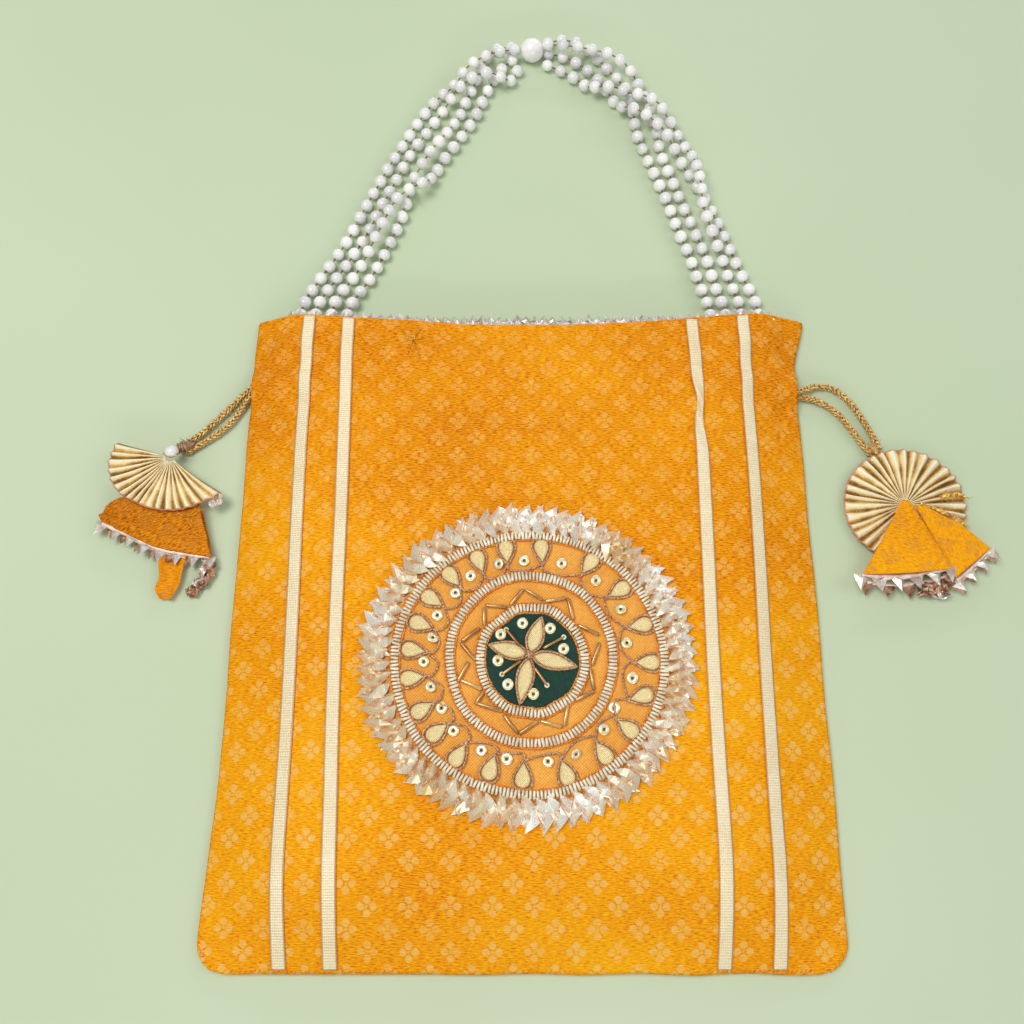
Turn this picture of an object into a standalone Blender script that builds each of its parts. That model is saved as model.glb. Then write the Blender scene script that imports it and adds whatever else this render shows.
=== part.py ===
"""Potli bag: a flat brocade drawstring pouch with a beaded medallion, a pearl handle and two tassels.

The bag lies on its back. Z is up, +Y runs from the bottom seam to the mouth, +X is to the right.
Sizes are written in millimetres and turned into metres where the meshes are made.
"""
import math

import bmesh
import bpy
from mathutils import Vector

MM = 0.001
GAP = 0.35                      # clearance kept between pieces that touch

# bag body
BOTTOM_Y = -119.0
FRONT_LIP_Y = 110.5             # lowest point of the front lip, at the middle
FRONT_LIP_RISE = 5.5            # the lip's corners stand this much further up
BACK_LIP_Y = 117.0
HALF_WIDTH = 105.0
CORNER_RADIUS = 10.0
LEFT_FOOT_FLARE = 2.6           # the left side stands out this much more at its foot
PANEL_THICK = 0.8
LINING_THICK = 0.4
LINING_INSET = 7.0
LINING_BOTTOM_Y = -103.5
PUFF_TOP = 14.5                 # height of the flat middle of the front panel
LIP_TOP = 10.5
EDGE_TOP = 1.95                 # front panel's top where it is sewn to the back panel
SLOPE = 40.0                    # width of the sloping border of the front panel
LIP_SLOPE = 24.0                # the border is steeper at the mouth, where the handle goes in

# drawstring casing
CASING_Y = 87.5
CASING_HALF = 5.0
CASING_RAMP = 12.0
EXIT_RISE = 5.7                 # the side seam stands open this much at the casing
EXIT_HALF = 12.0
CORD_D = 2.2

# trims
RIBBON_W = 4.8
LACE_W = 6.0
LACE_OUT = 2.0

# medallion
MEDALLION_X = -1.0
MEDALLION_Y = -19.5
CLOTH_R = 50.0
PETAL_COUNT = 74
PETAL_R = 58.5
RING_RADII = {"outer": 46.0, "middle": 27.8, "inner": 18.4}
RING_W = 3.2
RING_H = 2.0
TEARDROPS = 21
TEARDROP_R = 38.2
GREEN_R = 16.3
STAR_POINTS = 12
STAR_TIP = 25.8
STAR_DIP = 21.9
BUGLE_D = 1.6
TEARDROP_LENGTH = 9.6
TEARDROP_W = 7.6
FLOWER_R = 8.6
FLOWER_PETAL_LENGTH = 13.2
FLOWER_PETAL_W = 9.5
PAD_HEIGHT = 1.5
PAD_POINTS = 14

# handle and tassels
STRAND_D = 5.0
PEARL_D = 10.0
PEARL_AT = (1.4, 246.4)
TUBE_STEP = 12.5                # length of one straight piece of a strand
DRAWSTRING_STEP = 6.5
ROSETTE_R = 22.3
PLEATS = 34


def smooth_step(t):
    t = min(1.0, max(0.0, t))
    return t * t * (3.0 - 2.0 * t)


def quarter(t):
    return math.sin(0.5 * math.pi * min(1.0, max(0.0, t)))


def side_edges(y):
    """Left and right edge of the bag at height y: nearly straight, flaring out to the right at the mouth."""
    flare = smooth_step((y - 95.0) / 24.0)
    pinch = 1.2 * math.cos(0.5 * math.pi * min(1.0, abs(y - CASING_Y) / 16.0)) ** 2
    corner = 0.0
    above = y - BOTTOM_Y
    if above < CORNER_RADIUS:
        corner = CORNER_RADIUS - math.sqrt(CORNER_RADIUS ** 2 - (CORNER_RADIUS - above) ** 2)
    foot = LEFT_FOOT_FLARE * smooth_step((-60.0 - y) / 45.0)
    left = -HALF_WIDTH - 2.5 + 0.7 * flare + pinch + corner - foot
    right = HALF_WIDTH - 2.5 + 5.0 * flare - pinch - corner
    return left, right


def front_top(x, y):
    """Height of the front panel's outer surface."""
    left, right = side_edges(y)
    inward = min(x - left, right - x)
    middle = PUFF_TOP - smooth_step((y - 55.0) / 30.0)
    middle += (LIP_TOP + 1.0 - PUFF_TOP) * smooth_step((y - 95.0) / 18.0)
    opening = max(0.0, 1.0 - abs(y - CASING_Y) / EXIT_HALF)
    edge = EDGE_TOP + EXIT_RISE * math.sin(0.5 * math.pi * opening) ** 2
    slope = SLOPE + (LIP_SLOPE - SLOPE) * smooth_step((y - 92.0) / 14.0)
    swell = quarter(inward / slope) * quarter((y - BOTTOM_Y) / SLOPE)
    return edge + (middle - edge) * swell


def casing(y):
    """1 over the drawstring channel, 0 away from it."""
    below = smooth_step((y - (CASING_Y - CASING_HALF - CASING_RAMP)) / CASING_RAMP)
    above = 1.0 - smooth_step((y - (CASING_Y + CASING_HALF)) / 7.0)
    return min(below, above)


def lip_y(x, front):
    if not front:
        return BACK_LIP_Y
    return FRONT_LIP_Y + FRONT_LIP_RISE * smooth_step(abs(x) / HALF_WIDTH)


def material(name, colour, roughness, metallic=0.0):
    found = bpy.data.materials.get(name)
    if found:
        return found
    made = bpy.data.materials.new(name)
    made.use_nodes = True
    bsdf = made.node_tree.nodes["Principled BSDF"]
    bsdf.inputs["Base Color"].default_value = (*colour, 1.0)
    bsdf.inputs["Roughness"].default_value = roughness
    bsdf.inputs["Metallic"].default_value = metallic
    return made


def brocade():
    return material("brocade", (0.78, 0.29, 0.01), 0.5)


def lining_cloth():
    return material("lining_cloth", (0.62, 0.28, 0.05), 0.8)


def patch_cloth():
    return material("patch", (0.75, 0.22, 0.04), 0.8)


def ribbon():
    return material("ribbon", (0.78, 0.62, 0.36), 0.45, 0.4)


def gilt():
    return material("gilt", (0.75, 0.50, 0.16), 0.35, 0.8)


def silver():
    return material("silver", (0.75, 0.73, 0.70), 0.3, 0.9)


def pearl():
    return material("pearl", (0.80, 0.78, 0.76), 0.2)


def braid():
    return material("braid", (0.36, 0.22, 0.07), 0.5, 0.3)


def add_object(name, mesh, mat):
    mesh.materials.append(mat)
    obj = bpy.data.objects.new(name, mesh)
    bpy.context.scene.collection.objects.link(obj)
    return obj


def sheet(name, columns, rows, place, thickness, mat):
    """A closed sheet: place(u, v) gives the top point of each grid node, in millimetres."""
    bm = bmesh.new()
    layers = []
    for drop in (0.0, thickness):
        layer = []
        for v in rows:
            line = []
            for u in columns:
                x, y, z = place(u, v)
                line.append(bm.verts.new(Vector((x, y, z - drop)) * MM))
            layer.append(line)
        layers.append(layer)
    top, under = layers
    last_u = len(columns) - 1
    last_v = len(rows) - 1
    for j in range(last_v):
        for i in range(last_u):
            bm.faces.new((top[j][i], top[j][i + 1], top[j + 1][i + 1], top[j + 1][i]))
            bm.faces.new((under[j][i], under[j + 1][i], under[j + 1][i + 1], under[j][i + 1]))
    for i in range(last_u):
        bm.faces.new((top[0][i], under[0][i], under[0][i + 1], top[0][i + 1]))
        bm.faces.new((top[last_v][i + 1], under[last_v][i + 1], under[last_v][i], top[last_v][i]))
    for j in range(last_v):
        bm.faces.new((top[j + 1][0], under[j + 1][0], under[j][0], top[j][0]))
        bm.faces.new((top[j][last_u], under[j][last_u], under[j + 1][last_u], top[j + 1][last_u]))
    mesh = bpy.data.meshes.new(name)
    bm.to_mesh(mesh)
    bm.free()
    return add_object(name, mesh, mat)


def prism(name, outline, z_low, z_high, mat, hole=None):
    """An upright prism over a closed outline; an inner outline with as many points cuts a hole."""
    bm = bmesh.new()
    loops = []
    for points in (outline, hole or []):
        for z in (z_low, z_high):
            loops.append([bm.verts.new(Vector((x, y, z)) * MM) for x, y in points])
    low, high, hole_low, hole_high = loops
    count = len(outline)
    for i in range(count):
        k = (i + 1) % count
        bm.faces.new((low[i], low[k], high[k], high[i]))
        if hole:
            bm.faces.new((hole_low[k], hole_low[i], hole_high[i], hole_high[k]))
            bm.faces.new((high[i], high[k], hole_high[k], hole_high[i]))
            bm.faces.new((low[k], low[i], hole_low[i], hole_low[k]))
    if not hole:
        bm.faces.new(high)
        bm.faces.new(list(reversed(low)))
    mesh = bpy.data.meshes.new(name)
    bm.to_mesh(mesh)
    bm.free()
    return add_object(name, mesh, mat)


def circle(radius, count, cx=0.0, cy=0.0):
    turns = [2.0 * math.pi * i / count for i in range(count)]
    return [(cx + radius * math.cos(a), cy + radius * math.sin(a)) for a in turns]


def star(outer, inner, points, cx, cy):
    outline = []
    for i in range(2 * points):
        radius = outer if i % 2 == 0 else inner
        angle = math.pi * i / points
        outline.append((cx + radius * math.cos(angle), cy + radius * math.sin(angle)))
    return outline


def smooth_route(points, spacing):
    """Points every `spacing` mm along a smooth curve through the hand-set points."""
    knots = [Vector(p) for p in points]
    ends = [knots[0] * 2 - knots[1]] + knots + [knots[-1] * 2 - knots[-2]]
    fine = []
    for i in range(1, len(ends) - 2):
        a, b, c, d = ends[i - 1:i + 3]
        for k in range(12):
            t = k / 12
            fine.append(0.5 * (2 * b + (c - a) * t + (2 * a - 5 * b + 4 * c - d) * t * t
                               + (3 * b - a - 3 * c + d) * t ** 3))
    fine.append(knots[-1])
    lengths = [0.0]
    for a, b in zip(fine, fine[1:]):
        lengths.append(lengths[-1] + (b - a).length)
    count = max(2, round(lengths[-1] / spacing))
    route = []
    at = 0
    for i in range(count + 1):
        goal = lengths[-1] * i / count
        while at < len(fine) - 2 and lengths[at + 1] < goal:
            at += 1
        part = (goal - lengths[at]) / (lengths[at + 1] - lengths[at])
        route.append(fine[at].lerp(fine[at + 1], part))
    return route


def tube(name, points, diameter, spacing, mat):
    route = smooth_route(points, spacing)
    curve = bpy.data.curves.new(name, "CURVE")
    curve.dimensions = "3D"
    curve.bevel_depth = 0.5 * diameter * MM
    curve.bevel_resolution = 2
    curve.use_fill_caps = True
    spline = curve.splines.new("POLY")
    spline.points.add(len(route) - 1)
    for point, place in zip(spline.points, route):
        point.co = (*(place * MM), 1.0)
    return add_object(name, curve, mat)


# ---- bag body

COLUMNS = (-1.0, -0.945, -0.88, -0.81, -0.74, -0.68, -0.61, -0.3, 0.0,
           0.3, 0.61, 0.68, 0.74, 0.81, 0.88, 0.945, 1.0)
ROWS = (-119.0, -116.5, -113.0, -107.5, -101.0, -94.0, -86.0, -78.5, -30.0, 20.0, 56.0,
        65.5, 71.5, 77.5, 82.5, 87.5, 92.5, 96.0, 99.5, 103.0, 107.0)


def panel_point(u, y, inset=0.0):
    """Plan position of a grid node; the last row follows the lip."""
    left, right = side_edges(y)
    x = 0.5 * (left + right) + 0.5 * u * (right - left - 2.0 * inset)
    return x, y


def rows_to_lip(count_from):
    return tuple(y for y in ROWS if y >= count_from) + ("lip",)


def on_panel(u, v, front, inset=0.0, short=0.0):
    if v == "lip":
        x, y = panel_point(u, FRONT_LIP_Y, inset)
        y = lip_y(x, front) - short
        return panel_point(u, y, inset)
    return panel_point(u, v, inset)


def front_panel():
    def place(u, v):
        x, y = on_panel(u, v, True)
        return x, y, front_top(x, y)
    return sheet("front_panel", COLUMNS, rows_to_lip(BOTTOM_Y), place, PANEL_THICK, brocade())


def back_panel():
    def place(u, v):
        x, y = on_panel(u, v, False)
        return x, y, PANEL_THICK
    columns = (-1.0, -0.5, 0.0, 0.5, 1.0)
    return sheet("back_panel", columns, rows_to_lip(BOTTOM_Y), place, PANEL_THICK, brocade())


def front_lining():
    def place(u, v):
        x, y = on_panel(u, v, True, LINING_INSET, 8.0)
        depth = PANEL_THICK + 0.5 + (CORD_D + 2 * GAP - 0.2) * casing(y)
        lowest = PANEL_THICK + 2 * GAP + 2 * LINING_THICK + (CORD_D + GAP) * casing(y)
        return x, y, max(lowest, front_top(x, y) - depth)
    rows = [LINING_BOTTOM_Y] + [y for y in ROWS if LINING_BOTTOM_Y < y < 101.0] + ["lip"]
    return sheet("front_lining", COLUMNS, rows, place, LINING_THICK, lining_cloth())


def back_lining():
    def place(u, v):
        x, y = on_panel(u, v, False, LINING_INSET, 8.0)
        rise = PANEL_THICK + GAP + LINING_THICK + (CORD_D + GAP) * casing(y)
        return x, y, rise
    rows = [LINING_BOTTOM_Y] + [y for y in ROWS if LINING_BOTTOM_Y < y < 105.0] + ["lip"]
    return sheet("back_lining", (-1.0, 0.0, 1.0), rows, place, LINING_THICK, lining_cloth())


def mouth_lace(side):
    """Lace band sewn inside one lip, standing a little past it."""
    front = side == "front"

    def place(u, v):
        x, edge = on_panel(u, "lip", front, 8.0)
        y = edge + v
        if front:
            z = front_top(x, min(y, edge)) - PANEL_THICK - 0.4
        else:
            z = PANEL_THICK + GAP + 0.5
        return x, y, z
    return sheet("mouth_lace_" + side, COLUMNS, (-LACE_W, 0.0, LACE_OUT), place, 0.5, silver())


def ribbon_strip(name, top_x, bottom_x):
    """Ribbon sewn down the front panel from just below the lip to just above the bottom seam."""
    rows = [y for y in ROWS if y > BOTTOM_Y + 1.0] + ["lip"]

    def place(u, v):
        y = lip_y(top_x, True) - 1.0 if v == "lip" else v
        share = (y - BOTTOM_Y) / (FRONT_LIP_Y - BOTTOM_Y)
        x = bottom_x + (top_x - bottom_x) * share + 0.5 * RIBBON_W * u
        return x, y, front_top(x, y) + GAP + 0.6
    return sheet(name, (-1.0, 1.0), rows, place, 0.6, ribbon())


# ---- medallion

CLOTH_TOP = PUFF_TOP + GAP + 0.4


def medallion():
    cx, cy = MEDALLION_X, MEDALLION_Y
    low = PUFF_TOP + GAP
    prism("medallion_cloth", circle(CLOTH_R, 96, cx, cy), low, CLOTH_TOP, patch_cloth())
    prism("petal_border", star(PETAL_R, PETAL_R - 3.4, PETAL_COUNT, cx, cy), low, low + 0.9, silver(),
          circle(CLOTH_R + 0.4, 2 * PETAL_COUNT, cx, cy))
    for name, radius in RING_RADII.items():
        bead_ring("bead_ring_" + name, radius, CLOTH_TOP + GAP)
    for i in range(TEARDROPS):
        teardrop("teardrop_%02d" % (i + 1), 0.5 * math.pi - 2.0 * math.pi * i / TEARDROPS, CLOTH_TOP + GAP)
    bugle_star(CLOTH_TOP + GAP)
    prism("green_centre", circle(GREEN_R, 64, cx, cy), CLOTH_TOP + GAP, CLOTH_TOP + GAP + 0.4,
          material("green_cloth", (0.01, 0.05, 0.03), 0.8))
    for i in range(4):
        flower_petal("flower_petal_%d" % (i + 1), math.radians(72.0 - 90.0 * i), CLOTH_TOP + 2 * GAP + 0.4)


def bead_ring(name, radius, base):
    """Ring of an oval section, turned about the medallion's centre."""
    bm = bmesh.new()
    section = 8
    around = 60
    loops = []
    for i in range(around):
        angle = 2.0 * math.pi * i / around
        loop = []
        for k in range(section):
            turn = 2.0 * math.pi * k / section
            r = radius + 0.5 * RING_W * math.cos(turn)
            z = base + 0.5 * RING_H * (1.0 + math.sin(turn))
            loop.append(bm.verts.new(Vector((MEDALLION_X + r * math.cos(angle),
                                             MEDALLION_Y + r * math.sin(angle), z)) * MM))
        loops.append(loop)
    for i in range(around):
        a, b = loops[i], loops[(i + 1) % around]
        for k in range(section):
            n = (k + 1) % section
            bm.faces.new((a[k], b[k], b[n], a[n]))
    bmesh.ops.recalc_face_normals(bm, faces=bm.faces)
    mesh = bpy.data.meshes.new(name)
    bm.to_mesh(mesh)
    bm.free()
    return add_object(name, mesh, silver())


def drop_outline(length, width, count):
    """Teardrop with its point towards -X and its round end towards +X."""
    outline = []
    for i in range(count):
        turn = 2.0 * math.pi * i / count
        along = math.cos(turn)
        across = math.sin(turn) * (0.5 + 0.5 * along) ** 0.6 if along > -1.0 else 0.0
        outline.append((0.5 * length * along, 0.62 * width * across))
    return outline


def pad(name, outline, cx, cy, angle, base, height, mat):
    """A padded piece: full outline at the base, half as wide on top."""
    bm = bmesh.new()
    loops = []
    for share, z in ((1.0, base), (0.92, base + 0.6 * height), (0.5, base + height)):
        loop = []
        for x, y in outline:
            px = cx + share * (x * math.cos(angle) - y * math.sin(angle))
            py = cy + share * (x * math.sin(angle) + y * math.cos(angle))
            loop.append(bm.verts.new(Vector((px, py, z)) * MM))
        loops.append(loop)
    count = len(outline)
    for a, b in zip(loops, loops[1:]):
        for i in range(count):
            k = (i + 1) % count
            bm.faces.new((a[i], a[k], b[k], b[i]))
    bm.faces.new(loops[-1])
    bm.faces.new(list(reversed(loops[0])))
    mesh = bpy.data.meshes.new(name)
    bm.to_mesh(mesh)
    bm.free()
    return add_object(name, mesh, mat)


def teardrop(name, angle, base):
    cx = MEDALLION_X + TEARDROP_R * math.cos(angle)
    cy = MEDALLION_Y + TEARDROP_R * math.sin(angle)
    outline = drop_outline(TEARDROP_LENGTH, TEARDROP_W, PAD_POINTS)
    pad(name, outline, cx, cy, angle, base, PAD_HEIGHT, gilt())


def flower_petal(name, angle, base):
    cx = MEDALLION_X + FLOWER_R * math.cos(angle)
    cy = MEDALLION_Y + FLOWER_R * math.sin(angle)
    outline = drop_outline(FLOWER_PETAL_LENGTH, FLOWER_PETAL_W, PAD_POINTS)
    pad(name, outline, cx, cy, angle, base, PAD_HEIGHT, gilt())


def bugle_star(base):
    """Zig-zag ring of bugle beads between the middle and the inner bead ring."""
    outline = star(STAR_TIP, STAR_DIP, STAR_POINTS, MEDALLION_X, MEDALLION_Y)
    hole = star(STAR_TIP - 1.7, STAR_DIP - 1.5, STAR_POINTS, MEDALLION_X, MEDALLION_Y)
    prism("bugle_star", outline, base, base + BUGLE_D, silver(), hole)


# ---- cords

LEFT_DRAWSTRING = (
    (-130.2, 65.6, 1.6), (-125.0, 69.9, 1.6), (-118.8, 76.4, 1.6), (-112.0, 84.0, 1.8), (-107.6, 87.8, 3.2),
    (-103.5, 89.3, 5.3), (-98.0, 89.5, 6.6), (-90.0, 89.5, 8.6), (-80.0, 89.5, 10.2), (-66.0, 89.5, 11.1),
    (0.0, 89.5, 11.1), (60.0, 89.5, 11.1), (70.0, 89.5, 10.7), (78.0, 89.5, 9.8), (86.0, 89.5, 8.4),
    (93.0, 89.5, 6.9), (97.9, 89.5, 5.6), (99.5, 89.5, 4.1), (97.9, 89.5, 2.6), (92.0, 89.5, 2.25),
    (60.0, 89.5, 2.25), (0.0, 89.5, 2.25), (-60.0, 89.5, 2.25), (-97.0, 89.3, 2.25), (-103.6, 88.6, 2.2),
    (-107.8, 85.2, 2.0), (-111.0, 79.8, 1.7), (-114.0, 74.8, 1.6), (-118.2, 70.4, 1.6),
    (-123.4, 66.6, 1.6), (-129.2, 62.6, 1.6))
RIGHT_DRAWSTRING = (
    (131.6, 63.9, 1.6), (129.6, 69.2, 1.6), (126.2, 76.4, 1.6), (122.6, 82.6, 1.6), (118.8, 86.8, 1.6),
    (114.4, 89.0, 1.6), (109.6, 88.9, 2.0), (105.0, 87.0, 3.6), (100.3, 85.6, 5.2), (94.0, 85.5, 6.6),
    (85.0, 85.5, 8.6), (76.0, 85.5, 10.1), (60.0, 85.5, 11.1), (0.0, 85.5, 11.1), (-66.0, 85.5, 11.1),
    (-80.0, 85.5, 10.2), (-90.0, 85.5, 8.6), (-98.0, 85.5, 6.7), (-103.0, 85.5, 5.6), (-104.6, 85.5, 4.1),
    (-103.0, 85.5, 2.6), (-97.0, 85.5, 2.25), (-60.0, 85.5, 2.25), (0.0, 85.5, 2.25), (60.0, 85.5, 2.25),
    (94.0, 85.2, 2.25), (101.0, 84.6, 2.25), (106.6, 84.2, 2.0), (111.6, 82.4, 1.6), (116.8, 78.6, 1.6),
    (121.2, 72.8, 1.6), (124.8, 66.8, 1.6), (127.6, 62.3, 1.6))

STRANDS = {
    "left_a": ((-90.5, 106.0, 4.6), (-90.0, 119.0, 4.6), (-88.4, 127.0, 3.2), (-84.8, 134.0, 2.7),
               (-74.1, 152.8, 2.7), (-68.4, 166.3, 2.7), (-56.5, 192.2, 2.7), (-42.1, 218.4, 2.7),
               (-31.6, 229.9, 2.9), (-26.6, 234.6, 7.6), (-19.7, 239.6, 8.4), (-13.0, 242.5, 8.3),
               (-6.3, 244.4, 7.6)),
    "left_b": ((-84.0, 106.0, 4.6), (-84.2, 119.0, 4.6), (-82.4, 127.0, 3.2), (-78.2, 134.5, 2.7),
               (-71.4, 146.0, 2.7), (-66.2, 156.0, 2.7), (-61.0, 168.5, 2.7), (-55.0, 182.3, 2.7),
               (-49.3, 194.9, 2.7), (-40.0, 210.5, 2.7), (-34.8, 218.8, 3.4), (-30.8, 223.2, 7.4),
               (-26.5, 226.8, 8.4), (-21.5, 229.8, 9.2), (-16.4, 230.6, 9.4), (-11.8, 230.2, 7.4),
               (-7.4, 232.2, 2.9), (-4.9, 237.4, 2.7)),
    "left_c": ((-72.0, 106.0, 4.6), (-71.8, 119.0, 4.6), (-69.2, 127.0, 3.0), (-63.2, 137.1, 2.7),
               (-57.4, 150.0, 2.7), (-52.2, 164.4, 2.7), (-49.8, 174.6, 2.7), (-48.0, 181.5, 3.4),
               (-44.4, 187.0, 6.2), (-41.3, 192.5, 6.8), (-37.2, 199.0, 6.4), (-32.8, 206.5, 4.6),
               (-29.4, 213.5, 2.9), (-26.4, 222.0, 2.7), (-22.8, 231.5, 2.7), (-19.4, 241.5, 2.7),
               (-14.6, 248.6, 2.7), (-7.6, 249.8, 2.7)),
    "left_d": ((-77.9, 106.0, 4.6), (-78.0, 119.0, 4.6), (-76.0, 127.5, 3.2), (-69.6, 138.0, 2.7),
               (-66.2, 144.4, 3.8), (-61.8, 152.0, 7.4), (-57.8, 161.0, 8.4), (-54.0, 169.0, 8.4),
               (-48.6, 174.2, 8.4), (-42.2, 178.8, 6.8), (-39.4, 184.6, 2.9), (-35.2, 193.0, 2.7),
               (-29.0, 202.6, 2.7), (-23.4, 212.4, 2.7), (-19.8, 221.5, 2.7), (-16.4, 229.6, 2.7),
               (-12.9, 236.8, 2.7), (-7.2, 243.0, 2.7)),
    "right_a": ((70.6, 106.0, 4.6), (70.6, 119.0, 4.6), (69.4, 127.0, 3.0), (67.2, 134.0, 2.7),
                (63.9, 147.2, 2.7), (59.9, 159.3, 2.7), (56.0, 173.0, 2.7), (51.0, 186.9, 2.7),
                (47.0, 198.5, 2.7), (44.8, 207.5, 2.7), (44.2, 216.2, 2.7), (43.0, 224.8, 2.7),
                (38.6, 232.2, 2.7), (32.8, 239.4, 2.7), (27.6, 246.6, 2.7), (21.6, 251.8, 2.7),
                (14.7, 253.8, 2.7), (8.4, 252.0, 2.9)),
    "right_b": ((76.6, 106.0, 4.6), (76.6, 119.0, 4.6), (75.2, 127.0, 3.0), (73.4, 133.6, 2.7),
                (70.8, 145.5, 2.7), (66.8, 158.5, 2.7), (62.4, 171.0, 2.7), (58.8, 182.5, 2.7),
                (55.6, 192.3, 2.7), (54.0, 200.0, 2.7), (53.6, 207.2, 2.7), (52.0, 214.7, 2.7),
                (50.2, 221.7, 2.7), (47.0, 229.4, 3.0), (41.8, 236.4, 6.8), (35.6, 240.6, 8.4),
                (28.6, 243.2, 8.4), (21.8, 244.8, 8.4), (14.8, 245.8, 8.4), (8.2, 246.9, 7.8)),
    "right_c": ((82.8, 106.0, 4.6), (82.8, 119.0, 4.6), (81.8, 127.0, 3.2), (79.4, 135.0, 2.7),
                (77.4, 143.0, 3.6), (73.4, 154.0, 7.0), (70.0, 166.0, 8.4), (69.6, 177.5, 8.4),
                (68.4, 189.4, 5.8), (65.6, 196.8, 3.4), (62.4, 204.0, 2.9), (58.0, 211.2, 5.6),
                (54.0, 216.0, 8.5), (48.4, 219.9, 8.4), (41.4, 221.5, 8.4), (36.0, 223.6, 9.0),
                (30.0, 225.0, 7.8), (24.8, 228.6, 3.4), (20.0, 233.2, 2.7), (14.4, 237.0, 2.7),
                (8.0, 240.4, 2.7)),
    "right_d": ((89.6, 106.0, 4.6), (89.6, 119.0, 4.6), (88.4, 127.0, 3.0), (86.4, 132.8, 2.7),
                (82.7, 143.1, 2.7), (78.6, 155.6, 2.7), (74.8, 166.0, 2.7), (70.4, 176.5, 2.7),
                (64.2, 188.3, 2.7), (60.2, 195.6, 5.4), (56.4, 201.8, 8.0), (50.8, 208.4, 8.4),
                (45.0, 212.9, 8.4), (40.4, 215.6, 6.6), (37.2, 219.4, 2.9), (33.8, 226.0, 2.7),
                (29.6, 232.4, 2.7), (24.8, 238.0, 2.7), (19.6, 242.2, 2.7), (14.0, 245.0, 2.7),
                (8.6, 246.4, 2.7))}


def handle():
    for name, points in STRANDS.items():
        tube("handle_strand_" + name, points, STRAND_D, TUBE_STEP, pearl())
    mesh = bpy.data.meshes.new("large_pearl")
    bm = bmesh.new()
    bmesh.ops.create_uvsphere(bm, u_segments=24, v_segments=12, radius=0.5 * PEARL_D * MM)
    bmesh.ops.translate(bm, verts=bm.verts, vec=Vector((*PEARL_AT, 0.5 * PEARL_D)) * MM)
    bm.to_mesh(mesh)
    bm.free()
    add_object("large_pearl", mesh, pearl())


# ---- tassels

FAN_CENTRE = (-134.3, 57.4)
FAN_START = 161.0
FAN_SWEEP = 161.0
FAN_STEPS = 18
FAN_LOW = 5.4
FAN_HIGH = 8.4
FLOOR_GAP = 0.2                 # pieces that lie beside the bag start this far up
LEFT_SKIRT = ((-138.0, 53.0), (-159.5, 37.0), (-158.5, 32.5), (-115.5, 17.0), (-121.0, 38.0), (-130.0, 53.0))
LEFT_SKIRT_TOP = 5.0
LEFT_CURL = ((-135.4, 23.6), (-136.0, 8.0), (-131.5, 4.5), (-127.5, 7.0), (-123.5, 11.5), (-123.0, 19.1))
LEFT_CURL_TOP = 4.4
TASSEL_PEARL_R = 2.2
TASSEL_PEARL_AT = (-134.0, 60.4, 5.4)
ROSETTE_CENTRE = (138.8, 41.2)
ROSETTE_TOP = 2.6
SKIRT_FRONT = ((136.6, 43.0), (117.0, 13.5), (120.0, 8.5), (150.5, 11.5), (152.0, 18.0), (140.0, 42.0))
SKIRT_BACK = ((142.2, 40.6), (153.6, 17.0), (154.0, 9.5), (169.0, 18.5), (166.5, 25.0), (144.4, 39.6))
SKIRT_LOW = 3.0
SKIRT_FRONT_TOP = 8.0
SKIRT_BACK_TOP = 7.0


def left_tassel():
    cx, cy = FAN_CENTRE
    rim = []
    for i in range(FAN_STEPS + 1):
        angle = math.radians(FAN_START + FAN_SWEEP * i / FAN_STEPS)
        rim.append((cx + ROSETTE_R * math.cos(angle), cy + ROSETTE_R * math.sin(angle)))
    prism("left_fan", [(cx, cy)] + rim, FAN_LOW, FAN_HIGH, gilt())
    prism("left_skirt", LEFT_SKIRT, FLOOR_GAP, LEFT_SKIRT_TOP, brocade())
    prism("left_curl", LEFT_CURL, FLOOR_GAP, LEFT_CURL_TOP, brocade())
    mesh = bpy.data.meshes.new("left_tassel_pearl")
    bm = bmesh.new()
    bmesh.ops.create_uvsphere(bm, u_segments=12, v_segments=8, radius=TASSEL_PEARL_R * MM)
    bmesh.ops.translate(bm, verts=bm.verts, vec=Vector(TASSEL_PEARL_AT) * MM)
    bm.to_mesh(mesh)
    bm.free()
    add_object("left_tassel_pearl", mesh, pearl())


def right_tassel():
    cx, cy = ROSETTE_CENTRE
    prism("right_rosette", circle(ROSETTE_R, PLEATS, cx, cy), FLOOR_GAP, ROSETTE_TOP, gilt())
    prism("right_skirt_front", SKIRT_FRONT, SKIRT_LOW, SKIRT_FRONT_TOP, brocade())
    prism("right_skirt_back", SKIRT_BACK, SKIRT_LOW, SKIRT_BACK_TOP, brocade())


def build():
    for old in list(bpy.data.objects):
        bpy.data.objects.remove(old, do_unlink=True)
    front_panel()
    back_panel()
    front_lining()
    back_lining()
    mouth_lace("front")
    mouth_lace("back")
    ribbon_strip("ribbon_left_outer", -85.5, -82.6)
    ribbon_strip("ribbon_left_inner", -69.9, -66.0)
    ribbon_strip("ribbon_right_inner", 62.3, 61.4)
    ribbon_strip("ribbon_right_outer", 81.8, 79.3)
    medallion()
    tube("drawstring_left", LEFT_DRAWSTRING, CORD_D, DRAWSTRING_STEP, braid())
    tube("drawstring_right", RIGHT_DRAWSTRING, CORD_D, DRAWSTRING_STEP, braid())
    handle()
    left_tassel()
    right_tassel()


build()
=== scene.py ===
# %% [markdown]
# # A brocade potli bag with a zardozi medallion
# A potli is a small drawstring bag. This one is orange satin brocade, with a round
# embroidered medallion, a handle of four pearl strands and two drawstrings that end
# in tassels. The bag lies flat on its back, so the page runs along X and Y and the
# cloth swells up along Z.
#
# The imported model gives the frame. Every size below is in millimetres, the unit that a
# bag maker uses, and each mesh is scaled to metres once, when it is made.

import math

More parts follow.
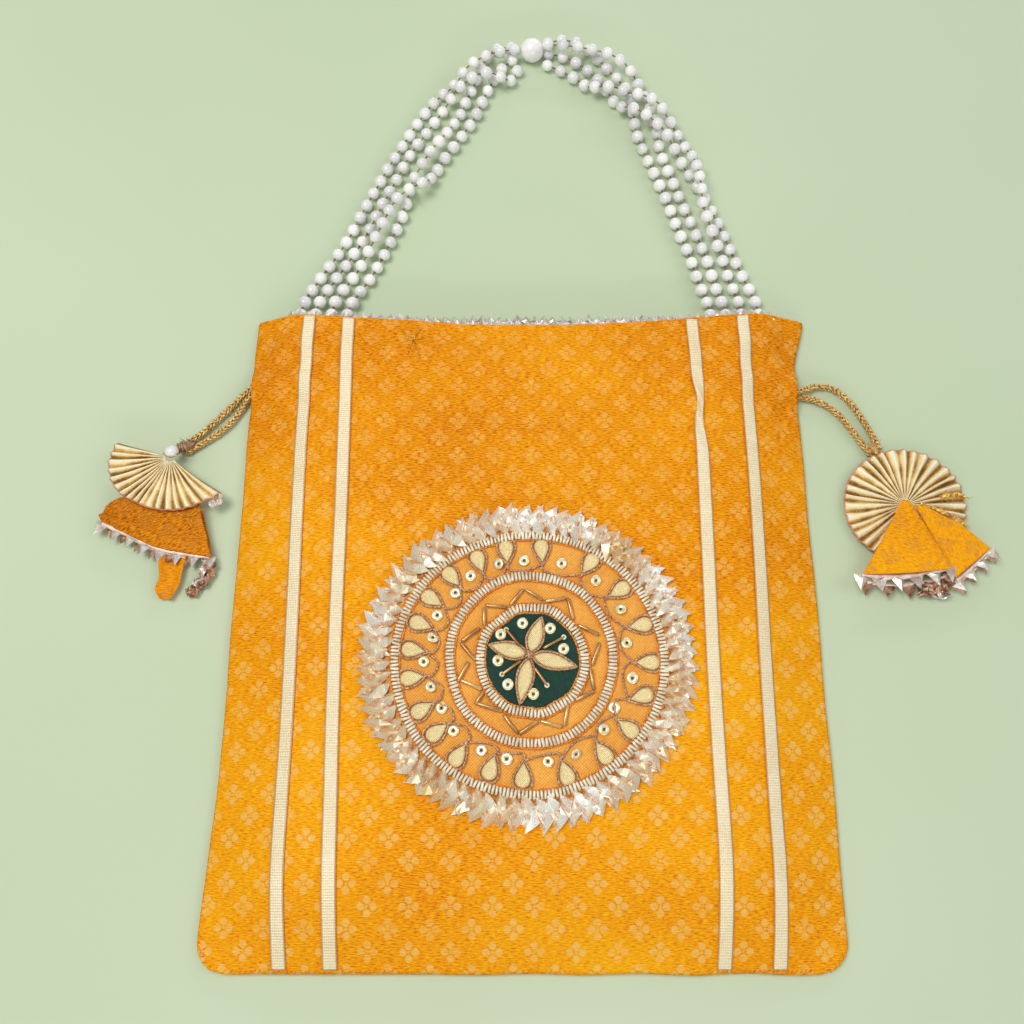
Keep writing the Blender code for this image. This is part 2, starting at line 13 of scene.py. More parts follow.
import bpy
import numpy as np
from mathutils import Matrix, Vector


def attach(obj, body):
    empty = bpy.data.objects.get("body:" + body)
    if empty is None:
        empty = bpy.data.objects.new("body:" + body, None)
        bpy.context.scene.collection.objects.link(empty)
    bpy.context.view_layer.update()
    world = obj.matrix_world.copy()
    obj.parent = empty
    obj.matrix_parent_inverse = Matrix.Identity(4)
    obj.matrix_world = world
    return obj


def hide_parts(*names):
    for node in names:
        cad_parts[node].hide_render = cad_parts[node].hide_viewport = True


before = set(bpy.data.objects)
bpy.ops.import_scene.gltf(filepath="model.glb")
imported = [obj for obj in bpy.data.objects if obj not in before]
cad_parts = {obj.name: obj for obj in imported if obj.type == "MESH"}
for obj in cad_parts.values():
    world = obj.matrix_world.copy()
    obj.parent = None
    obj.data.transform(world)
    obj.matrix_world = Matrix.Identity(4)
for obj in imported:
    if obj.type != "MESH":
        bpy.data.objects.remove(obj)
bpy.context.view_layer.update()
MM = 0.001

# %% [markdown]
# ## Camera, floor and light
# The camera looks down on the lying bag and leans a little from its foot end. The light
# is a wide soft box high on the left, a second one on the right, and two narrow strips
# low down, because metal thread only sparkles when it has bright and dark things to
# mirror. The floor is one plain pale sheet.

# %% Camera
CAMERA_PLACE = (-0.0072, -0.0795, 0.3645)
CAMERA_TILT = 18.0
CAMERA_LENS = 36.14

camera_data = bpy.data.cameras.new("camera")
camera_data.lens = CAMERA_LENS
camera_data.sensor_width = 36.0
camera_data.clip_start = 0.01
camera = bpy.data.objects.new("camera", camera_data)
camera.location = CAMERA_PLACE
camera.rotation_euler = (math.radians(CAMERA_TILT), 0.0, 0.0)
bpy.context.collection.objects.link(camera)
bpy.context.scene.camera = camera
bpy.context.scene.view_settings.view_transform = "Standard"
print("camera at", CAMERA_PLACE)

# %% Lights
def soft_box(name, place, aim, width, height, watts, tint=(1.0, 1.0, 1.0)):
    """A rectangular lamp at a place, turned to face a point."""
    data = bpy.data.lights.new(name, "AREA")
    data.shape = "RECTANGLE"
    data.size = width
    data.size_y = height
    data.energy = watts
    data.color = tint
    lamp = bpy.data.objects.new(name, data)
    lamp.location = place
    lamp.rotation_euler = (Vector(aim) - Vector(place)).to_track_quat("-Z", "Y").to_euler()
    bpy.context.collection.objects.link(lamp)
    return lamp


BAG_MIDDLE = (0.0, 0.03, 0.0)
soft_box("key_box", (-0.36, 0.1, 0.98), BAG_MIDDLE, 0.5, 0.5, 6.0, (1.0, 0.985, 0.955))
soft_box("fill_box", (0.75, 0.1, 0.7), BAG_MIDDLE, 0.5, 0.7, 1.8, (0.97, 0.985, 1.0))
soft_box("foot_strip", (0.1, -0.9, 0.45), BAG_MIDDLE, 0.9, 0.12, 1.9)
soft_box("head_strip", (0.2, 0.95, 0.35), BAG_MIDDLE, 0.8, 0.1, 1.3)

world = bpy.data.worlds.new("studio_air")
world.use_nodes = True
world.node_tree.nodes["Background"].inputs["Color"].default_value = (0.93, 0.96, 1.0, 1.0)
world.node_tree.nodes["Background"].inputs["Strength"].default_value = 0.36
bpy.context.scene.world = world
print("lamps:", len(bpy.data.lights))

# %% [markdown]
# ## Tools for meshes
# Most pieces here are either a grid of points laid over a surface, a tube swept along a
# route, or a small shape repeated many times. One helper turns points and faces into an
# object at the origin, and a UV map called `cloth` carries plan positions in metres, so
# that a woven pattern follows its piece even where the piece is folded.

# %% Mesh helpers
def mesh_object(name, points, faces, uvs=None, smooth=True):
    """An object at the origin from points in millimetres, with an optional UV per point."""
    mesh = bpy.data.meshes.new(name)
    scaled = np.asarray(points, dtype=float) * MM
    mesh.from_pydata(scaled.tolist(), [], [list(map(int, face)) for face in faces])
    if uvs is not None:
        layer = mesh.uv_layers.new(name="cloth")
        corners = np.empty(len(mesh.loops), dtype=np.int64)
        mesh.loops.foreach_get("vertex_index", corners)
        flat = (np.asarray(uvs, dtype=float) * MM)[corners]
        layer.uv.foreach_set("vector", flat.astype(np.float32).ravel())
    mesh.polygons.foreach_set("use_smooth", [smooth] * len(mesh.polygons))
    mesh.update()
    made = bpy.data.objects.new(name, mesh)
    bpy.context.collection.objects.link(made)
    return made


def grid_faces(rows, columns, wrap=False):
    """Quads of a grid whose points are listed row by row."""
    faces = []
    span = columns if wrap else columns - 1
    for r in range(rows - 1):
        for c in range(span):
            n = (c + 1) % columns
            faces.append((r * columns + c, r * columns + n, (r + 1) * columns + n, (r + 1) * columns + c))
    return faces


def settle(piece):
    """Applies the piece's modifiers and returns it as a plain mesh."""
    layer = bpy.context.evaluated_depsgraph_get()
    mesh = bpy.data.meshes.new_from_object(piece.evaluated_get(layer), depsgraph=layer)
    piece.modifiers.clear()
    piece.data = mesh
    return piece


def thicken(piece, thickness, offset=-1.0):
    """Gives a sheet its thickness in millimetres, below its face for an offset of -1."""
    wall = piece.modifiers.new("wall", "SOLIDIFY")
    wall.thickness = thickness * MM
    wall.offset = offset
    return settle(piece)


def dress(piece, finish, slot, *nodes):
    """Sets a piece's finish, lets it ride on the bag, and hides the CAD nodes it stands for."""
    if not piece.data.materials:
        piece.data.materials.append(finish)
    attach(piece, "root")
    if nodes:
        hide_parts(*nodes)
    return piece


def closed_tube(name, route, radius, sides=6, closed=False, z_squash=1.0):
    """A round tube along a list of points, in millimetres, with capped ends."""
    points, faces = tube_parts(route, radius, sides, closed, z_squash)
    return mesh_object(name, points, faces)


def tube_parts(route, radius, sides=6, closed=False, z_squash=1.0):
    route = np.asarray(route, dtype=float)
    ahead = np.roll(route, -1, axis=0)
    behind = np.roll(route, 1, axis=0)
    if not closed:
        ahead[-1] = route[-1]
        behind[0] = route[0]
    along = ahead - behind
    along /= np.maximum(np.linalg.norm(along, axis=1), 1e-9)[:, None]
    up = np.array((0.0, 0.0, 1.0))
    side = np.cross(along, up)
    side /= np.maximum(np.linalg.norm(side, axis=1), 1e-9)[:, None]
    rise = np.cross(side, along)
    radius = np.broadcast_to(np.asarray(radius, dtype=float), (len(route),))
    points = []
    for k in range(sides):
        turn = 2.0 * math.pi * k / sides
        points.append(route + radius[:, None] * (math.cos(turn) * side + math.sin(turn) * rise * z_squash))
    stacked = np.stack(points, axis=1).reshape(-1, 3)
    rings = len(route)
    faces = []
    for r in range(rings if closed else rings - 1):
        s = (r + 1) % rings
        for k in range(sides):
            n = (k + 1) % sides
            faces.append((r * sides + k, s * sides + k, s * sides + n, r * sides + n))
    if not closed:
        faces.append(tuple(range(sides)))
        faces.append(tuple((rings - 1) * sides + k for k in reversed(range(sides))))
    return stacked, faces


def gather_parts(parts):
    """Several (points, faces) pairs as one list of points and one of faces."""
    points = []
    faces = []
    base = 0
    for some_points, some_faces in parts:
        points.append(np.asarray(some_points, dtype=float))
        faces.extend([tuple(base + i for i in face) for face in some_faces])
        base += len(some_points)
    return np.concatenate(points), faces


print("mesh helpers ready")

# %% [markdown]
# ## Tools for finishes
# A finish is a small network of shader nodes. Written by hand it is hard to read, so a
# thin class wraps a socket and lets Python's own signs add the Math nodes: `1 - mask`
# makes a Subtract node. One method, `node`, makes any other node.

# %% A socket that does arithmetic
class Signal:
    """A number or a vector that flows from a shader node's output."""

    def __init__(self, finish, socket):
        self.finish = finish
        self.socket = socket

    def math(self, operation, *values):
        settings = {"operation": operation}
        return self.finish.node("ShaderNodeMath", settings, dict(enumerate((self,) + values)))

    def __add__(self, other):
        return self.math("ADD", other)

    def __sub__(self, other):
        return self.math("SUBTRACT", other)

    def __mul__(self, other):
        return self.math("MULTIPLY", other)

    def __truediv__(self, other):
        return self.math("DIVIDE", other)

    def __pow__(self, other):
        return self.math("POWER", other)

    def __abs__(self):
        return self.math("ABSOLUTE")

    def __rsub__(self, other):
        return self.finish.node("ShaderNodeMath", {"operation": "SUBTRACT"}, {0: other, 1: self})

    __radd__ = __add__
    __rmul__ = __mul__


class Finish:
    """One material and the nodes that make it."""

    def __init__(self, name):
        self.material = bpy.data.materials.new(name)
        self.material.use_nodes = True
        self.tree = self.material.node_tree
        self.tree.nodes.clear()

    def node(self, kind, settings=None, inputs=None, output=0):
        made = self.tree.nodes.new(kind)
        for title, value in (settings or {}).items():
            if title == "stops":
                ramp = made.color_ramp
                while len(ramp.elements) < len(value):
                    ramp.elements.new(0.5)
                for element, (place, colour) in zip(ramp.elements, value):
                    element.position = place
                    element.color = colour
            else:
                setattr(made, title, value)
        for title, value in (inputs or {}).items():
            if isinstance(value, Signal):
                self.tree.links.new(value.socket, made.inputs[title])
            else:
                made.inputs[title].default_value = value
        return Signal(self, made.outputs[output])

    def place(self):
        """Where on the piece, in metres."""
        return self.node("ShaderNodeTexCoord", output="Object")

    def cloth_place(self):
        """Where on the cloth before it was folded, in metres."""
        return self.node("ShaderNodeUVMap", {"uv_map": "cloth"})

    def stretched(self, vector, scale, turn=0.0):
        settings = {"vector_type": "POINT"}
        return self.node("ShaderNodeMapping", settings,
                         {"Vector": vector, "Scale": scale, "Rotation": (0.0, 0.0, turn)})

    def axes(self, vector):
        made = self.tree.nodes.new("ShaderNodeSeparateXYZ")
        self.tree.links.new(vector.socket, made.inputs[0])
        return [Signal(self, made.outputs[i]) for i in range(3)]

    def cloud(self, vector, scale, detail=2.0, roughness=0.5):
        return self.node("ShaderNodeTexNoise", None,
                         {"Vector": vector, "Scale": scale, "Detail": detail, "Roughness": roughness})

    def blend(self, share, one, two):
        """Colour one where share is 0, colour two where it is 1."""
        return self.node("ShaderNodeMix", {"data_type": "RGBA"}, {0: share, 6: one, 7: two}, 2)

    def ramp(self, share, *stops):
        return self.node("ShaderNodeValToRGB", {"stops": stops}, {0: share})

    def fade(self, value, low, high):
        """0 below low, 1 above high, and a smooth step between."""
        return self.node("ShaderNodeMapRange", {"interpolation_type": "SMOOTHSTEP"},
                         {"Value": value, "From Min": low, "From Max": high})

    def bump(self, height, depth, strength=1.0):
        return self.node("ShaderNodeBump", None, {"Height": height, "Distance": depth, "Strength": strength})

    def done(self, **sockets):
        """Ends the network in one Principled shader and returns the material."""
        named = {key.replace("_", " ").title().replace("Ior", "IOR"): value for key, value in sockets.items()}
        shader = self.node("ShaderNodeBsdfPrincipled", None, named)
        end = self.tree.nodes.new("ShaderNodeOutputMaterial")
        self.tree.links.new(shader.socket, end.inputs["Surface"])
        return self.material


def tone(red, green, blue):
    """A screen colour, 0 to 255, as the linear colour that shaders use."""
    def linear(value):
        value /= 255.0
        return value / 12.92 if value <= 0.04045 else ((value + 0.055) / 1.055) ** 2.4
    return (linear(red), linear(green), linear(blue), 1.0)


print("mustard in linear light:", [round(v, 3) for v in tone(235, 150, 20)[:3]])

# %% [markdown]
# ## Floor
# A pale sage sheet under the bag. It is staging, not part of the bag, and a faint mottle
# keeps it from looking like a computer's grey.

# %% Floor
floor_finish = Finish("floor")
mottle = floor_finish.cloud(floor_finish.place(), 3.0, 3.0)
floor_material = floor_finish.done(
    base_color=floor_finish.blend(mottle, tone(186, 203, 166), tone(212, 223, 195)),
    roughness=0.9, specular_ior_level=0.1)
FLOOR_HALF = 3000.0
floor = mesh_object("floor", [(-FLOOR_HALF, -FLOOR_HALF, -0.3), (FLOOR_HALF, -FLOOR_HALF, -0.3),
                              (FLOOR_HALF, FLOOR_HALF, -0.3), (-FLOOR_HALF, FLOOR_HALF, -0.3)], [(0, 1, 2, 3)])
floor.data.materials.append(floor_material)
print("floor", 2.0 * FLOOR_HALF * MM, "m wide")

# %% [markdown]
# ## Satin brocade
# The cloth is woven satin. Its short floating threads run across the bag, and their sheen is
# painted into the colour as fine bright streaks, with broad bands of painted light and shade
# over it and the lower part painted lighter. The pattern is a drop lattice: one four-petalled
# flower every 13.5 mm across and 14 mm down, and a second set of the same halfway between.
# Each flower is folded by symmetry into one petal, whose distance gives a mask, so the whole
# pattern takes a dozen Math nodes. Petals weave flatter and paler than the ground.

# %% Brocade
DROP_ACROSS = 13.5
DROP_DOWN = 14.0
PETAL_OUT = 2.05
PETAL_ROUND = 1.38


def brocade_finish(name="brocade", sheen_colour=(255, 190, 14), body=(238, 144, 2), shade_colour=(176, 84, 0),
                   motif=(255, 208, 108), motif_low=(234, 160, 62)):
    """Satin brocade: a painted sheen colour, the cloth's own colour and a painted shade colour for the ground,
    and the two ends of its flowers' colour.
    """
    cloth = Finish(name)
    place = cloth.cloth_place()
    wander = cloth.cloud(place, 260.0, 1.0)
    x, y, _ = cloth.axes(place)
    x = x * 1000.0 + (wander - 0.5) * 0.5
    y = y * 1000.0 + (wander - 0.5) * 0.4

    def flower(shift):
        across = abs((x / DROP_ACROSS + shift).math("FRACT") - 0.5) * DROP_ACROSS
        down = abs((y / DROP_DOWN + shift).math("FRACT") - 0.5) * DROP_DOWN
        far = across.math("MAXIMUM", down)
        near = across.math("MINIMUM", down)
        reach = ((far - PETAL_OUT) ** 2.0 + near * near).math("SQRT")
        petal = 1.0 - cloth.fade(reach, PETAL_ROUND - 0.28, PETAL_ROUND + 0.12)
        groove = cloth.fade(far - near, 0.12, 0.42)
        heart = 1.0 - cloth.fade(far + near, 0.45, 0.75)
        return (petal * groove).math("MAXIMUM", heart)

    flowers = flower(0.0).math("MAXIMUM", flower(0.5))
    # The flowers show more strongly in some patches than in others.
    patchy = cloth.fade(cloth.cloud(place, 55.0, 2.0), 0.3, 0.62)
    # Painted light: the lower part of the cloth is painted lighter and its flowers stronger, as though lit more.
    lower = 1.0 - cloth.fade(y, -60.0, 70.0)
    flowers = flowers * (0.6 + 0.4 * patchy) * (0.5 + 0.5 * lower)
    # Painted sheen: the floats' streaks lighten the ground and flower colours; in the bump they are the floats'
    # own relief.
    floats_and_sheen = cloth.cloud(cloth.stretched(place, (520.0, 2900.0, 1.0), 0.05), 1.0, 2.0)
    threads = cloth.cloud(cloth.stretched(place, (1500.0, 5200.0, 1.0)), 1.0, 1.0)
    # Painted light and shade: broad light and dark bands over the puffs of the cloth.
    puff_light_and_shade = cloth.cloud(cloth.stretched(place, (9.0, 16.0, 1.0)), 1.0, 3.0)
    sheen_and_shade = floats_and_sheen * 0.74 + threads * 0.26 + puff_light_and_shade * 0.36 - 0.09 + lower * 0.07
    # The ground runs from a painted shade colour through the cloth's own orange to a painted sheen colour; the
    # flowers' colour follows the same painted sheen and shade.
    ground = cloth.ramp(sheen_and_shade, (0.42, tone(*shade_colour)), (0.58, tone(*body)), (0.78, tone(*sheen_colour)))
    woven = cloth.ramp(floats_and_sheen * 0.7 + puff_light_and_shade * 0.4, (0.3, tone(*motif_low)), (0.8, tone(*motif)))
    height = floats_and_sheen * 0.8 + threads * 0.4 - flowers * 0.6
    return cloth.done(
        base_color=cloth.blend(flowers * 0.9, ground, woven),
        roughness=0.6 - flowers * 0.12 + threads * 0.1,
        normal=cloth.bump(height, 0.00026, 0.85),
        specular_ior_level=0.14, sheen_weight=0.0, sheen_roughness=0.4,
        sheen_tint=tone(255, 190, 60))


brocade = brocade_finish()
# The right tassel's brocade is the bag's cloth painted lighter and less shaded, as though lit more: a deeper
# yellow with copper flowers.
lit_brocade = brocade_finish("lit_brocade", (255, 194, 20), (250, 166, 6), (214, 118, 4),
                                (222, 158, 72), (182, 108, 40))
print("brocade nodes:", len(brocade.node_tree.nodes))

# %% [markdown]
# ## Plain cloths, metal thread, beads and pearls
# The other finishes are simpler. Each still has the grain of its real thing: the matte
# weave of the patch, ribs across the ribbon, crushed foil in the folded leaves, a rose
# edge on the pleated tissue, and a slow change of tone from pearl to pearl. The foils and
# the pleated tissue also carry painted shade and highlight in their colour.

# %% Cloths
def woven_finish(name, dark, light, pitch, rough, depth=0.00012):
    """Plain weave with a thread every pitch millimetres."""
    cloth = Finish(name)
    place = cloth.place()
    x, y, _ = cloth.axes(place)
    warp = (x * (math.pi * 1000.0 / pitch)).math("SINE")
    weft = (y * (math.pi * 1000.0 / pitch)).math("SINE")
    weave = warp * weft * 0.5 + 0.5
    fuzz = cloth.cloud(place, 900.0, 3.0)
    stain = cloth.cloud(place, 60.0, 2.0)
    share = weave * 0.35 + fuzz * 0.45 + stain * 0.35
    return cloth.done(base_color=cloth.ramp(share, (0.3, dark), (0.8, light)),
                      roughness=rough, normal=cloth.bump(weave + fuzz * 0.8, depth),
                      specular_ior_level=0.2, sheen_weight=0.3, sheen_roughness=0.5)


patch_cloth = woven_finish("patch_cloth", tone(226, 138, 40), tone(255, 192, 92), 0.55, 0.88)
green_cloth = woven_finish("green_cloth", tone(6, 34, 26), tone(30, 74, 60), 0.5, 0.7)
lining = woven_finish("lining", tone(168, 94, 22), tone(222, 146, 54), 0.4, 0.85)


def thread_finish(name, dark, light, rough=0.5, metallic=0.0, scale=900.0):
    """Spun thread: light and dark flecks along it."""
    thread = Finish(name)
    fleck = thread.cloud(thread.place(), scale, 2.0)
    return thread.done(base_color=thread.ramp(fleck, (0.35, dark), (0.68, light)),
                       roughness=rough + 0.0, metallic=metallic, normal=thread.bump(fleck, 0.00015))


orange_thread = thread_finish("orange_thread", tone(214, 112, 12), tone(255, 166, 50), 0.7)
gold_thread = thread_finish("gold_thread", tone(186, 116, 18), tone(246, 196, 60), 0.45, 0.35)
rose_cord = thread_finish("rose_cord", tone(150, 96, 62), tone(236, 190, 146), 0.4, 0.35, 1500.0)
bead_thread = thread_finish("bead_thread", tone(96, 76, 60), tone(158, 138, 118), 0.6)
fuzzy_thread = thread_finish("fuzzy_thread", tone(128, 92, 62), tone(206, 170, 134), 0.9, 0.0, 1400.0)
braid = thread_finish("braid", tone(176, 126, 54), tone(252, 218, 140), 0.45, 0.35, 1100.0)
# Painted shade: a dark colour for the shade in the braid's gaps and in the sequins' holes.
gap_shade_dark = thread_finish("gap_shade_dark", tone(60, 34, 10), tone(120, 80, 34), 0.75, 0.0, 1100.0)
print("threads:", orange_thread.name, braid.name, rose_cord.name)


# %% Ribbon
def ribbon_finish():
    """Cream tissue ribbon: its UV runs across in U and along in V, in metres."""
    tape = Finish("ribbon")
    u, v, _ = tape.axes(tape.cloth_place())
    across = u * 1000.0
    rib = ((v * (2.0 * math.pi * 1000.0 / 0.85)).math("SINE")) * 0.5 + 0.5
    warp = ((u * (2.0 * math.pi * 1000.0 / 0.6)).math("SINE")) * 0.5 + 0.5
    edge = tape.fade(abs(across), 1.75, 2.15)
    grain = tape.cloud(tape.place(), 1500.0, 2.0)
    wear = tape.cloud(tape.place(), 70.0, 2.0)
    body = tape.ramp(rib * 0.3 + warp * 0.15 + grain * 0.45 + wear * 0.3,
                     (0.28, tone(222, 190, 136)), (0.52, tone(246, 224, 176)),
                     (0.82, tone(255, 246, 218)))
    return tape.done(base_color=tape.blend(edge * 0.75, body, tone(214, 150, 96)),
                     roughness=0.42, metallic=0.2,
                     normal=tape.bump(rib * 0.7 + warp * 0.3 + grain * 0.5, 0.00018))


ribbon = ribbon_finish()


def foil_finish(name, dark, light, rough, scale, metallic=0.92, depth=0.0005, crush=0.6):
    """Metal tissue, crushed as it was folded, coloured darker where the crumple is low and lighter where it is
    high, as painted shade and highlight.
    """
    foil = Finish(name)
    place = foil.place()
    crumple = foil.cloud(place, scale, 3.0, 0.6)
    grain = foil.cloud(place, 2600.0, 1.0)
    # Painted shade and highlight: the colour is darker where the crumple's bump is low and lighter where it is
    # high.
    return foil.done(base_color=foil.ramp(crumple, (0.32, dark), (0.66, light)),
                     roughness=foil.fade(grain, 0.2, 0.8) * 0.16 + rough, metallic=metallic,
                     normal=foil.bump(crumple + grain * 0.12, depth, crush))


# Painted shade and highlight: the leaves run from a warm tan shade colour to a white highlight colour.
silver_leaf = foil_finish("silver_leaf", tone(230, 202, 150), tone(255, 253, 242), 0.24, 45.0, 0.54,
                          0.00002, 0.2)
silver_lace = foil_finish("silver_lace", tone(196, 176, 164), tone(252, 246, 238), 0.28, 300.0, 0.7)
rose_foil = foil_finish("rose_foil", tone(126, 84, 62), tone(222, 184, 152), 0.3, 400.0, 0.8)
# Painted shade: the dark brown end of the bugles' colour stands for the shade along them.
bugle_gilt = foil_finish("bugle_gilt", tone(158, 106, 60), tone(230, 184, 124), 0.26, 60.0, 0.75, 0.00001, 0.1)
silver_bead = foil_finish("silver_bead", tone(214, 196, 162), tone(250, 240, 214), 0.34, 260.0, 0.25,
                          0.00002, 0.3)
sequin_gilt = foil_finish("sequin_gilt", tone(248, 224, 160), tone(255, 250, 216), 0.25, 160.0, 0.55,
                          0.00006, 0.3)


def woven_gold(name, dark, light):
    """Padded gold tissue: a plain weave fine enough to glitter."""
    tissue = Finish(name)
    place = tissue.place()
    x, y, _ = tissue.axes(place)
    weave = (x * 9500.0).math("SINE") * (y * 9500.0).math("SINE") * 0.5 + 0.5
    grain = tissue.cloud(place, 1500.0, 2.0)
    return tissue.done(base_color=tissue.ramp(weave * 0.5 + grain * 0.5, (0.3, dark), (0.7, light)),
                       roughness=0.3 + grain * 0.2, metallic=0.45,
                       normal=tissue.bump(weave + grain, 0.00012))


gilt_pad = woven_gold("gilt_pad", tone(222, 186, 112), tone(255, 242, 190))


# %% Pleated tissue
def tissue_finish():
    """Gold tissue: its UV holds the distance from the rim in U and the height in the pleat in V, which paints
    shade into the pleats' valleys and highlight onto their crests.
    """
    tissue = Finish("gold_tissue")
    u, v, _ = tissue.axes(tissue.cloth_place())
    place = tissue.place()
    rim = 1.0 - tissue.fade(u * 1000.0, 0.25, 0.85)
    weave = ((u * (2.0 * math.pi * 1000.0 / 0.5)).math("SINE")) * 0.5 + 0.5
    grain = tissue.cloud(place, 1900.0, 2.0)
    cloudy = tissue.cloud(place, 170.0, 3.0)
    pleat_shade = tissue.fade(v * 1000.0 + (cloudy - 0.5) * 0.7, 0.0, 1.0)
    # Painted shade and highlight: dark brown in the pleats' valleys, cream on their crests.
    body = tissue.ramp(pleat_shade * 0.75 + grain * 0.28, (0.12, tone(112, 72, 26)), (0.3, tone(212, 172, 100)),
                       (0.5, tone(255, 234, 172)), (0.82, tone(255, 250, 222)))
    return tissue.done(base_color=tissue.blend(rim * 0.8, body, tone(232, 152, 128)),
                       roughness=0.34 + grain * 0.2, metallic=0.38,
                       normal=tissue.bump(weave * 0.3 + grain * 0.7, 0.00016))


gold_tissue = tissue_finish()


# %% Pearls
def pearl_finish(name, dark, light):
    pearl = Finish(name)
    place = pearl.place()
    tint = pearl.cloud(place, 95.0, 1.0)
    skin = pearl.cloud(place, 700.0, 2.0)
    return pearl.done(base_color=pearl.ramp(tint, (0.32, dark), (0.66, light)),
                      roughness=0.2 + skin * 0.12, metallic=0.0, coat_weight=0.7, coat_roughness=0.12,
                      specular_ior_level=0.65, sheen_weight=0.2, sheen_roughness=0.3,
                      sheen_tint=tone(214, 204, 232), normal=pearl.bump(skin, 0.00004))


pearl = pearl_finish("pearl", tone(222, 220, 220), tone(254, 252, 246))
print("finishes:", len(bpy.data.materials))

# %% [markdown]
# ## Tools for repeated shapes
# Pearls, beads, leaves, stitches and lace points all repeat. Geometry Nodes does that
# well: a short tree puts one small shape along a route or at marked points, realises the
# copies and sets their finish. Three trees serve the whole bag. Each has named inputs,
# so the same tree makes wide or narrow rows.

# %% A Geometry Nodes tree in Python
class Tree:
    """A Geometry Nodes tree with named inputs."""

    def __init__(self, name, **inputs):
        self.group = bpy.data.node_groups.new(name, "GeometryNodeTree")
        face = self.group.interface
        face.new_socket("Geometry", in_out="INPUT", socket_type="NodeSocketGeometry")
        face.new_socket("Geometry", in_out="OUTPUT", socket_type="NodeSocketGeometry")
        for title, kind in inputs.items():
            face.new_socket(title.replace("_", " "), in_out="INPUT", socket_type="NodeSocket" + kind)
        self.source = self.group.nodes.new("NodeGroupInput")
        self.end = self.group.nodes.new("NodeGroupOutput")

    def asked(self, title):
        return self.source.outputs[title.replace("_", " ")]

    def put(self, kind, settings=None, inputs=None, output=0):
        made = self.group.nodes.new(kind)
        for title, value in (settings or {}).items():
            setattr(made, title, value)
        for title, value in (inputs or {}).items():
            if isinstance(value, bpy.types.NodeSocket):
                self.group.links.new(value, made.inputs[title])
            else:
                made.inputs[title].default_value = value
        return made.outputs[output]

    def route(self, pitch):
        """The incoming line as a curve with a point every pitch."""
        curve = self.put("GeometryNodeMeshToCurve", None, {"Mesh": self.asked("Geometry")})
        return self.put("GeometryNodeResampleCurve", {"mode": "LENGTH"}, {"Curve": curve, "Length": pitch})

    def chance(self, low, high, shift=0):
        """A random number for each copy, the same on every run."""
        seed = self.put("ShaderNodeMath", {"operation": "ADD"}, {0: self.asked("Seed"), 1: float(shift)})
        return self.put("FunctionNodeRandomValue", {"data_type": "FLOAT"},
                        {2: low, 3: high, "Seed": seed}, 1)

    def chance_vector(self, spread):
        low = self.put("ShaderNodeVectorMath", {"operation": "SCALE"}, {0: spread, "Scale": -1.0})
        return self.put("FunctionNodeRandomValue", {"data_type": "FLOAT_VECTOR"},
                        {0: low, 1: spread, "Seed": self.asked("Seed")}, 0)

    def finished(self, copies, finish):
        real = self.put("GeometryNodeRealizeInstances", None, {"Geometry": copies})
        return self.put("GeometryNodeSetMaterial", None, {"Geometry": real, "Material": finish})

    def close(self, geometry):
        self.group.links.new(geometry, self.end.inputs[0])
        return self.group


def grow(name, source, group, **values):
    """Runs a tree on an object and leaves the result as one plain mesh."""
    modifier = source.modifiers.new("grow", "NODES")
    modifier.node_group = group
    sockets = {}
    for item in group.interface.items_tree:
        if item.item_type == "SOCKET" and item.in_out == "INPUT":
            sockets[item.name] = item.identifier
    for title, value in values.items():
        modifier[sockets[title.replace("_", " ")]] = value
    layer = bpy.context.evaluated_depsgraph_get()
    mesh = bpy.data.meshes.new_from_object(source.evaluated_get(layer), depsgraph=layer)
    source.modifiers.remove(modifier)
    bpy.data.objects.remove(source)
    made = bpy.data.objects.new(name, mesh)
    bpy.context.collection.objects.link(made)
    return made


def line_object(route, closed=False):
    """A bare line of vertices and edges for a tree to follow."""
    edges = [(i, i + 1) for i in range(len(route) - 1)]
    if closed:
        edges.append((len(route) - 1, 0))
    mesh = bpy.data.meshes.new("line")
    mesh.from_pydata((np.asarray(route, dtype=float) * MM).tolist(), edges, [])
    made = bpy.data.objects.new("line", mesh)
    bpy.context.collection.objects.link(made)
    return made


# %% The row tree: one shape along a route
def row_tree():
    tree = Tree("row_of_shapes", Shape="Object", Pitch="Float", Size="Vector", Size_spread="Float",
                Turn="Vector", Turn_spread="Vector", Seed="Int", Finish="Material")
    route = tree.route(tree.asked("Pitch"))
    shape = tree.put("GeometryNodeObjectInfo", {"transform_space": "ORIGINAL"},
                     {"Object": tree.asked("Shape")}, 4)
    along = tree.put("GeometryNodeInputTangent")
    facing = tree.put("FunctionNodeAlignRotationToVector", {"axis": "X", "pivot_axis": "Z"}, {"Vector": along})
    lean = tree.put("ShaderNodeVectorMath", {"operation": "ADD"},
                    {0: tree.asked("Turn"), 1: tree.chance_vector(tree.asked("Turn_spread"))})
    lean = tree.put("FunctionNodeEulerToRotation", None, {0: lean})
    facing = tree.put("FunctionNodeRotateRotation", {"rotation_space": "LOCAL"}, {0: facing, 1: lean})
    least = tree.put("ShaderNodeMath", {"operation": "SUBTRACT"}, {0: 1.0, 1: tree.asked("Size_spread")})
    most = tree.put("ShaderNodeMath", {"operation": "ADD"}, {0: 1.0, 1: tree.asked("Size_spread")})
    size = tree.put("ShaderNodeVectorMath", {"operation": "SCALE"},
                    {0: tree.asked("Size"), "Scale": tree.chance(least, most, 7)})
    copies = tree.put("GeometryNodeInstanceOnPoints", None,
                      {"Points": route, "Instance": shape, "Rotation": facing, "Scale": size})
    return tree.close(tree.finished(copies, tree.asked("Finish")))


ROW = row_tree()


